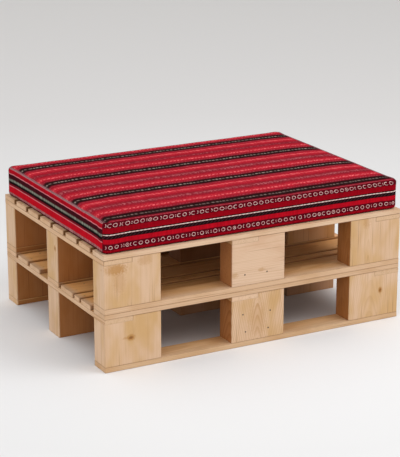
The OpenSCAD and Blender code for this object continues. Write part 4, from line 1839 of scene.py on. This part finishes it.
    def soften(self, cover: Object) -> None:
        """Presses in the zip's slot, and lets seams and panels wander a little.

        Args:
            cover: the cover, whose points move.
        """
        co = points_of(cover.data)
        x, y, z = co.T.copy()
        room = self.freedom(co) / self.cap
        wander = sum(height * np.sin(along * x + across * y + phase)
                     for height, along, across, phase in self.waves)
        co[:, 2] += np.where(z > self.wander_above, self.wander * wander * (0.3 + room), 0.0)
        pucker = sum(np.sin(along * x + across * y + sway * np.sin(rate * x))
                     * np.exp(-((z - seam) / self.pucker_run) ** 2)
                     for along, across, sway, rate, seam in self.puckers)
        at_back = y > self.back_y
        free = np.where(at_back & (np.abs(x) < self.zip_calm_x), 0.0, 1.0)
        inward = self.pucker * pucker * (z < self.pucker_below) * free
        on_long = np.abs(y) / self.half_y > np.abs(x) / self.half_x
        co[:, 1] += np.where(on_long, -np.sign(y) * inward, 0.0)
        co[:, 0] += np.where(~on_long, -np.sign(x) * inward, 0.0)
        in_slot = (at_back & (np.abs(x) < self.slot_half_x) &
                   (z > self.slot_z[0] - 1e-5) & (z < self.slot_z[1] + 1e-5))
        co[in_slot, 1] -= self.slot_depth
        move_points(cover.data, co)

    def dress(self) -> Object:
        """Builds, fills and finishes the cover.

        Returns:
            The cover.
        """
        cover = self.build("cushion_cover")
        for panel in Panel:
            cover.data.materials.append(panel.value.make())
        self.inflate(cover)
        self.soften(cover)
        hand_over(cover, "cushion", "striped_cloth",
                  "cover_top_panel", "cover_border", "cover_bottom_panel")
        return cover

    def seam_paths(self, piped: bool) -> list[list[int]]:
        """Lists the cover's points along its seams.

        Args:
            piped: whether to take the two ends' upper seams, or all the others.

        Returns:
            The numbers of the points on each path.
        """
        m, n = self.columns, self.rows
        (low, high), count = self.folds, 2 * (m + n)
        if piped:
            return [[high * count + j % count for j in range(start, start + n + 1)]
                    for start in (m, 2 * m + n)]
        return [*([high * count + j for j in range(start, start + m + 1)] for start in (0, m + n)),
                [low * count + j % count for j in range(count + 1)],
                *([r * count + column for r in range(low, high + 1)]
                  for column in (0, m, m + n, 2 * m + n))]

    def add_seams(self, cover: Object) -> None:
        """Lays a rolled seam over the joins of the cover's panels, thicker along the two ends.

        Args:
            cover: the cover.
        """
        g = ShapeGraph("rolled_seam")
        radius, finish = g.given("Radius"), g.given("Finish", "Material")
        path = g.get("MeshToCurve", {"Mesh": g.guide})
        roll = g.tube(path, radius, self.seam_corners, caps=False)
        g.close(g.smooth(roll), finish)
        dark = SeamFinish(rgb(120, 16, 30), rgb(78, 12, 22)).make("seam_maroon")
        pale = SeamFinish(rgb(186, 142, 142), rgb(104, 60, 66)).make("piping_pink_grey")
        for name, piped, size, look in (("cushion_seams", False, self.seam_radius, dark),
                                        ("cushion_end_piping", True, self.piping_radius, pale)):
            paths = [[cover.data.vertices[number].co for number in path]
                     for path in self.seam_paths(piped)]
            seams = g.grow(name, line_mesh(paths), {"Radius": size, "Finish": look})
            hand_over(seams, "cushion", "striped_cloth")

    def foam_block(self) -> None:
        """Builds the foam core inside the cover."""
        inside = BoxCushion(
            half_x=self.half_x - self.foam_inset, half_y=self.half_y - self.foam_inset,
            base_z=self.base_z + self.foam_rise, edge_z=self.edge_z - self.foam_drop,
            corner=0.02, top_round=0.010, bottom_round=0.010, columns=44, rows=32,
            border_z=(0.398, 0.4345, 0.470))
        block = inside.build("foam_block")
        block.data.materials.append(FoamFinish().make("foam_open_cell"))
        block.data.polygons.foreach_set("material_index", [0] * len(block.data.polygons))
        hand_over(block, "cushion", "foam", "foam_core")


@dataclass
class BackZip:
    """The zip in the back border: woven tape, interlocking teeth and end stops."""
    pitch: float = 0.0026
    tooth: Point = (0.0013, 0.0015, 0.0028)
    stagger: float = 0.0008
    tape_face: float = 0.3901
    tape_thick: float = 0.0005
    end_room: float = 0.012
    stop_inset: float = 0.0026
    stop: Point = (0.002, 0.0020, 0.0032)

    def teeth_tree(self) -> ShapeGraph:
        """Builds the tree that sets a rounded tooth on each point, by turns above and below.

        Returns:
            The tree.
        """
        g = ShapeGraph("zip_teeth")
        size, shift = g.given("Tooth", "Vector"), g.given("Stagger")
        finish = g.given("Finish", "Material")
        cube = g.get("MeshCube", {"Size": size}, "Mesh")
        tooth = g.get("SubdivisionSurface", {"Mesh": cube, "Level": 1, "Edge Crease": 0.55})
        odd = g.maths("MODULO", g.get("InputIndex"), 2.0)
        offset = g.join(0.0, 0.0, (odd * 2.0 - 1.0) * shift)
        moved = g.get("SetPosition", {"Geometry": g.guide, "Offset": offset})
        g.close(g.get("InstanceOnPoints", {"Points": moved, "Instance": tooth}), finish)
        return g

    def sew_in(self, metal: Material) -> None:
        """Makes the tape, the teeth and the end stops in place of the CAD chain.

        Args:
            metal: the teeth's finish.
        """
        low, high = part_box("zip_chain")
        middle, face = (low + high) / 2, self.tape_face
        tape = self.slab("zip_tape_cloth", (low.x, face - self.tape_thick, low.z),
                         (high.x, face, high.z), TapeFinish().make("zip_tape_woven"))
        half = self.pitch / 2
        count = int((high.x - low.x - self.end_room) / half)
        start = middle.x - (count - 1) * half / 2
        line = [(start + k * half, face + self.tooth[1] / 2, middle.z) for k in range(count)]
        teeth = self.teeth_tree().grow("zip_teeth", mesh_of("zip_line", line), {
            "Tooth": self.tooth, "Stagger": self.stagger, "Finish": metal})
        wide, thick, tall = self.stop
        ends = (("left", low.x + self.stop_inset), ("right", high.x - self.stop_inset))
        stops = [self.slab(f"zip_stop_{end}", (x - wide, face, middle.z - tall),
                           (x + wide, face + thick, middle.z + tall), metal) for end, x in ends]
        hand_over(tape, "cushion", "zip_tape", "zip_chain")
        for piece in (teeth, *stops):
            hand_over(piece, "cushion", "zip_metal", "zip_chain")

    def slab(self, name: str, low: Point, high: Point, material: Material) -> Object:
        """Makes a plain box.

        Args:
            name: the piece's name.
            low: its lower corner.
            high: its upper corner.
            material: its finish.

        Returns:
            The box.
        """
        xs, ys, zs = zip(low, high)
        corners = [(x, y, z) for z in zs for y in ys for x in xs]
        faces = [(0, 2, 3, 1), (4, 5, 7, 6), (0, 1, 5, 4), (2, 6, 7, 3), (0, 4, 6, 2), (1, 3, 7, 5)]
        piece = put_in_scene(name, mesh_of(name, corners, faces))
        piece.data.materials.append(material)
        return piece


@dataclass(frozen=True)
class Studio:
    """A pale floor, soft light and the camera.

    The floor's colours change over rings about the ottoman. Each lamp is its power in watts, its
    width and its place.
    """
    camera_at: Point = (-2.5714, -4.7647, 1.9403)
    yaw: float = 28.365
    pitch: float = 16.981
    lens: float = 130.04
    around: Colour = rgb(240, 240, 241)
    near: Colour = rgb(229, 229, 229)
    middle: Colour = rgb(219, 217, 216)
    far: Colour = rgb(210, 208, 206)
    bounce: Colour = rgb(196, 196, 196)
    shadow: Colour = rgb(98, 68, 42)
    floor_radius: float = 60.0
    floor_corners: int = 96
    floor_drop: float = 0.0002
    rings: tuple[float, float, float, float] = (0.6, 1.25, 3.0, 7.5)
    ring_span: float = 10.0
    shadow_x: tuple[float, float] = (0.56, 0.36)
    shadow_y: tuple[float, float] = (0.36, 0.12)
    shadow_depth: float = 0.50
    dome: float = 0.92
    key: tuple[float, float, Point] = (60.0, 3.0, (2.1, -2.4, 3.6))
    fill: tuple[float, float, Point] = (21.0, 2.6, (-3.6, -2.6, 1.7))
    lit_point: Point = (0.0, 0.0, 0.2)

    def place_camera(self) -> None:
        """Sets the camera at the photograph's viewing angle."""
        data = bpy.data.cameras.new("camera")
        data.lens, data.sensor_width, data.clip_end = self.lens, 36.0, 200.0
        camera = put_in_scene("camera", data)
        camera.location = self.camera_at
        camera.rotation_euler = (math.radians(90 - self.pitch), 0.0, -math.radians(self.yaw))
        bpy.context.scene.camera = camera

    def lay_floor(self) -> None:
        """Lays the wide floor, also the whole backdrop, with painted light near the ottoman and
        painted shadow under it.
        """
        corners, radius = self.floor_corners, self.floor_radius
        edge = [(radius * math.cos(t), radius * math.sin(t), -self.floor_drop)
                for t in np.linspace(0, TURN, corners, endpoint=False)]
        floor = put_in_scene("floor", mesh_of("floor", edge, [tuple(range(corners))]))
        g = FinishGraph("floor_paper")
        place = g.here()
        # painted light: the floor is lighter near the ottoman and darker further out
        shares = [ring / self.ring_span for ring in self.rings]
        colour = g.ramp(g.length(place) / self.ring_span,
                        list(zip(shares, (self.around, self.near, self.middle, self.far))))
        x, y, _ = g.split(place)
        # painted shadow: a dark brown patch on the floor under the pallets
        under = (g.step(abs(x), *self.shadow_x) * g.step(abs(y), *self.shadow_y)
                 * self.shadow_depth)
        colour = g.mix(g.backdrop_rays(), self.bounce, g.mix(under, colour, self.shadow))
        floor.data.materials.append(g.surface(colour, 0.7, Specular_IOR_Level=0.1))

    def add_lamp(self, name: str, power: float, size: float, place: Point) -> None:
        """Hangs a round soft lamp that faces the ottoman.

        Args:
            name: the lamp's name.
            power: its power in watts.
            size: its width.
            place: where it hangs.
        """
        lamp = bpy.data.lights.new(name, "AREA")
        lamp.shape, lamp.size, lamp.energy = "DISK", size, power
        thing = put_in_scene(name, lamp)
        thing.location = place
        thing.rotation_mode = "QUATERNION"
        aim = Vector(self.lit_point) - thing.location
        thing.rotation_quaternion = aim.to_track_quat("-Z", "Y")

    def light(self) -> None:
        """Sets the dome and two large soft lamps."""
        world = bpy.data.worlds.new("dome")
        bpy.context.scene.world = world
        world.use_nodes = True
        g = Graph(world.node_tree)
        g.tree.nodes.clear()
        soft = g.get("Background", {"Color": (1.0, 1.0, 1.0, 1.0), "Strength": self.dome})
        seen = g.get("Background", {"Color": self.far, "Strength": 1.0})
        g.add("OutputWorld", {0: g.get("MixShader", {0: g.backdrop_rays(), 1: soft, 2: seen})})
        self.add_lamp("key", *self.key)
        self.add_lamp("fill", *self.fill)
        bpy.context.scene.view_settings.view_transform = "Standard"


def main() -> None:
    """Builds the ottoman's looks in order."""
    logging.basicConfig(level=logging.INFO, format="%(name)s: %(message)s")
    studio = Studio()
    studio.place_camera()
    pallets = PalletStack()
    pallets.dress_boards()
    pallets.drive_fasteners()
    cushion = BoxCushion()
    cover = cushion.dress()
    cushion.add_seams(cover)
    WovenFigures(cover).weave_in()
    cushion.foam_block()
    metal = SteelFinish(rgb(198, 196, 192), rgb(150, 148, 144), 0.25).make("zip_nickel")
    BackZip().sew_in(metal)
    for node in ("zip_slider", "zip_pull"):
        dress_node(node, metal)
    studio.lay_floor()
    studio.light()


if __name__ == "__main__":
    main()
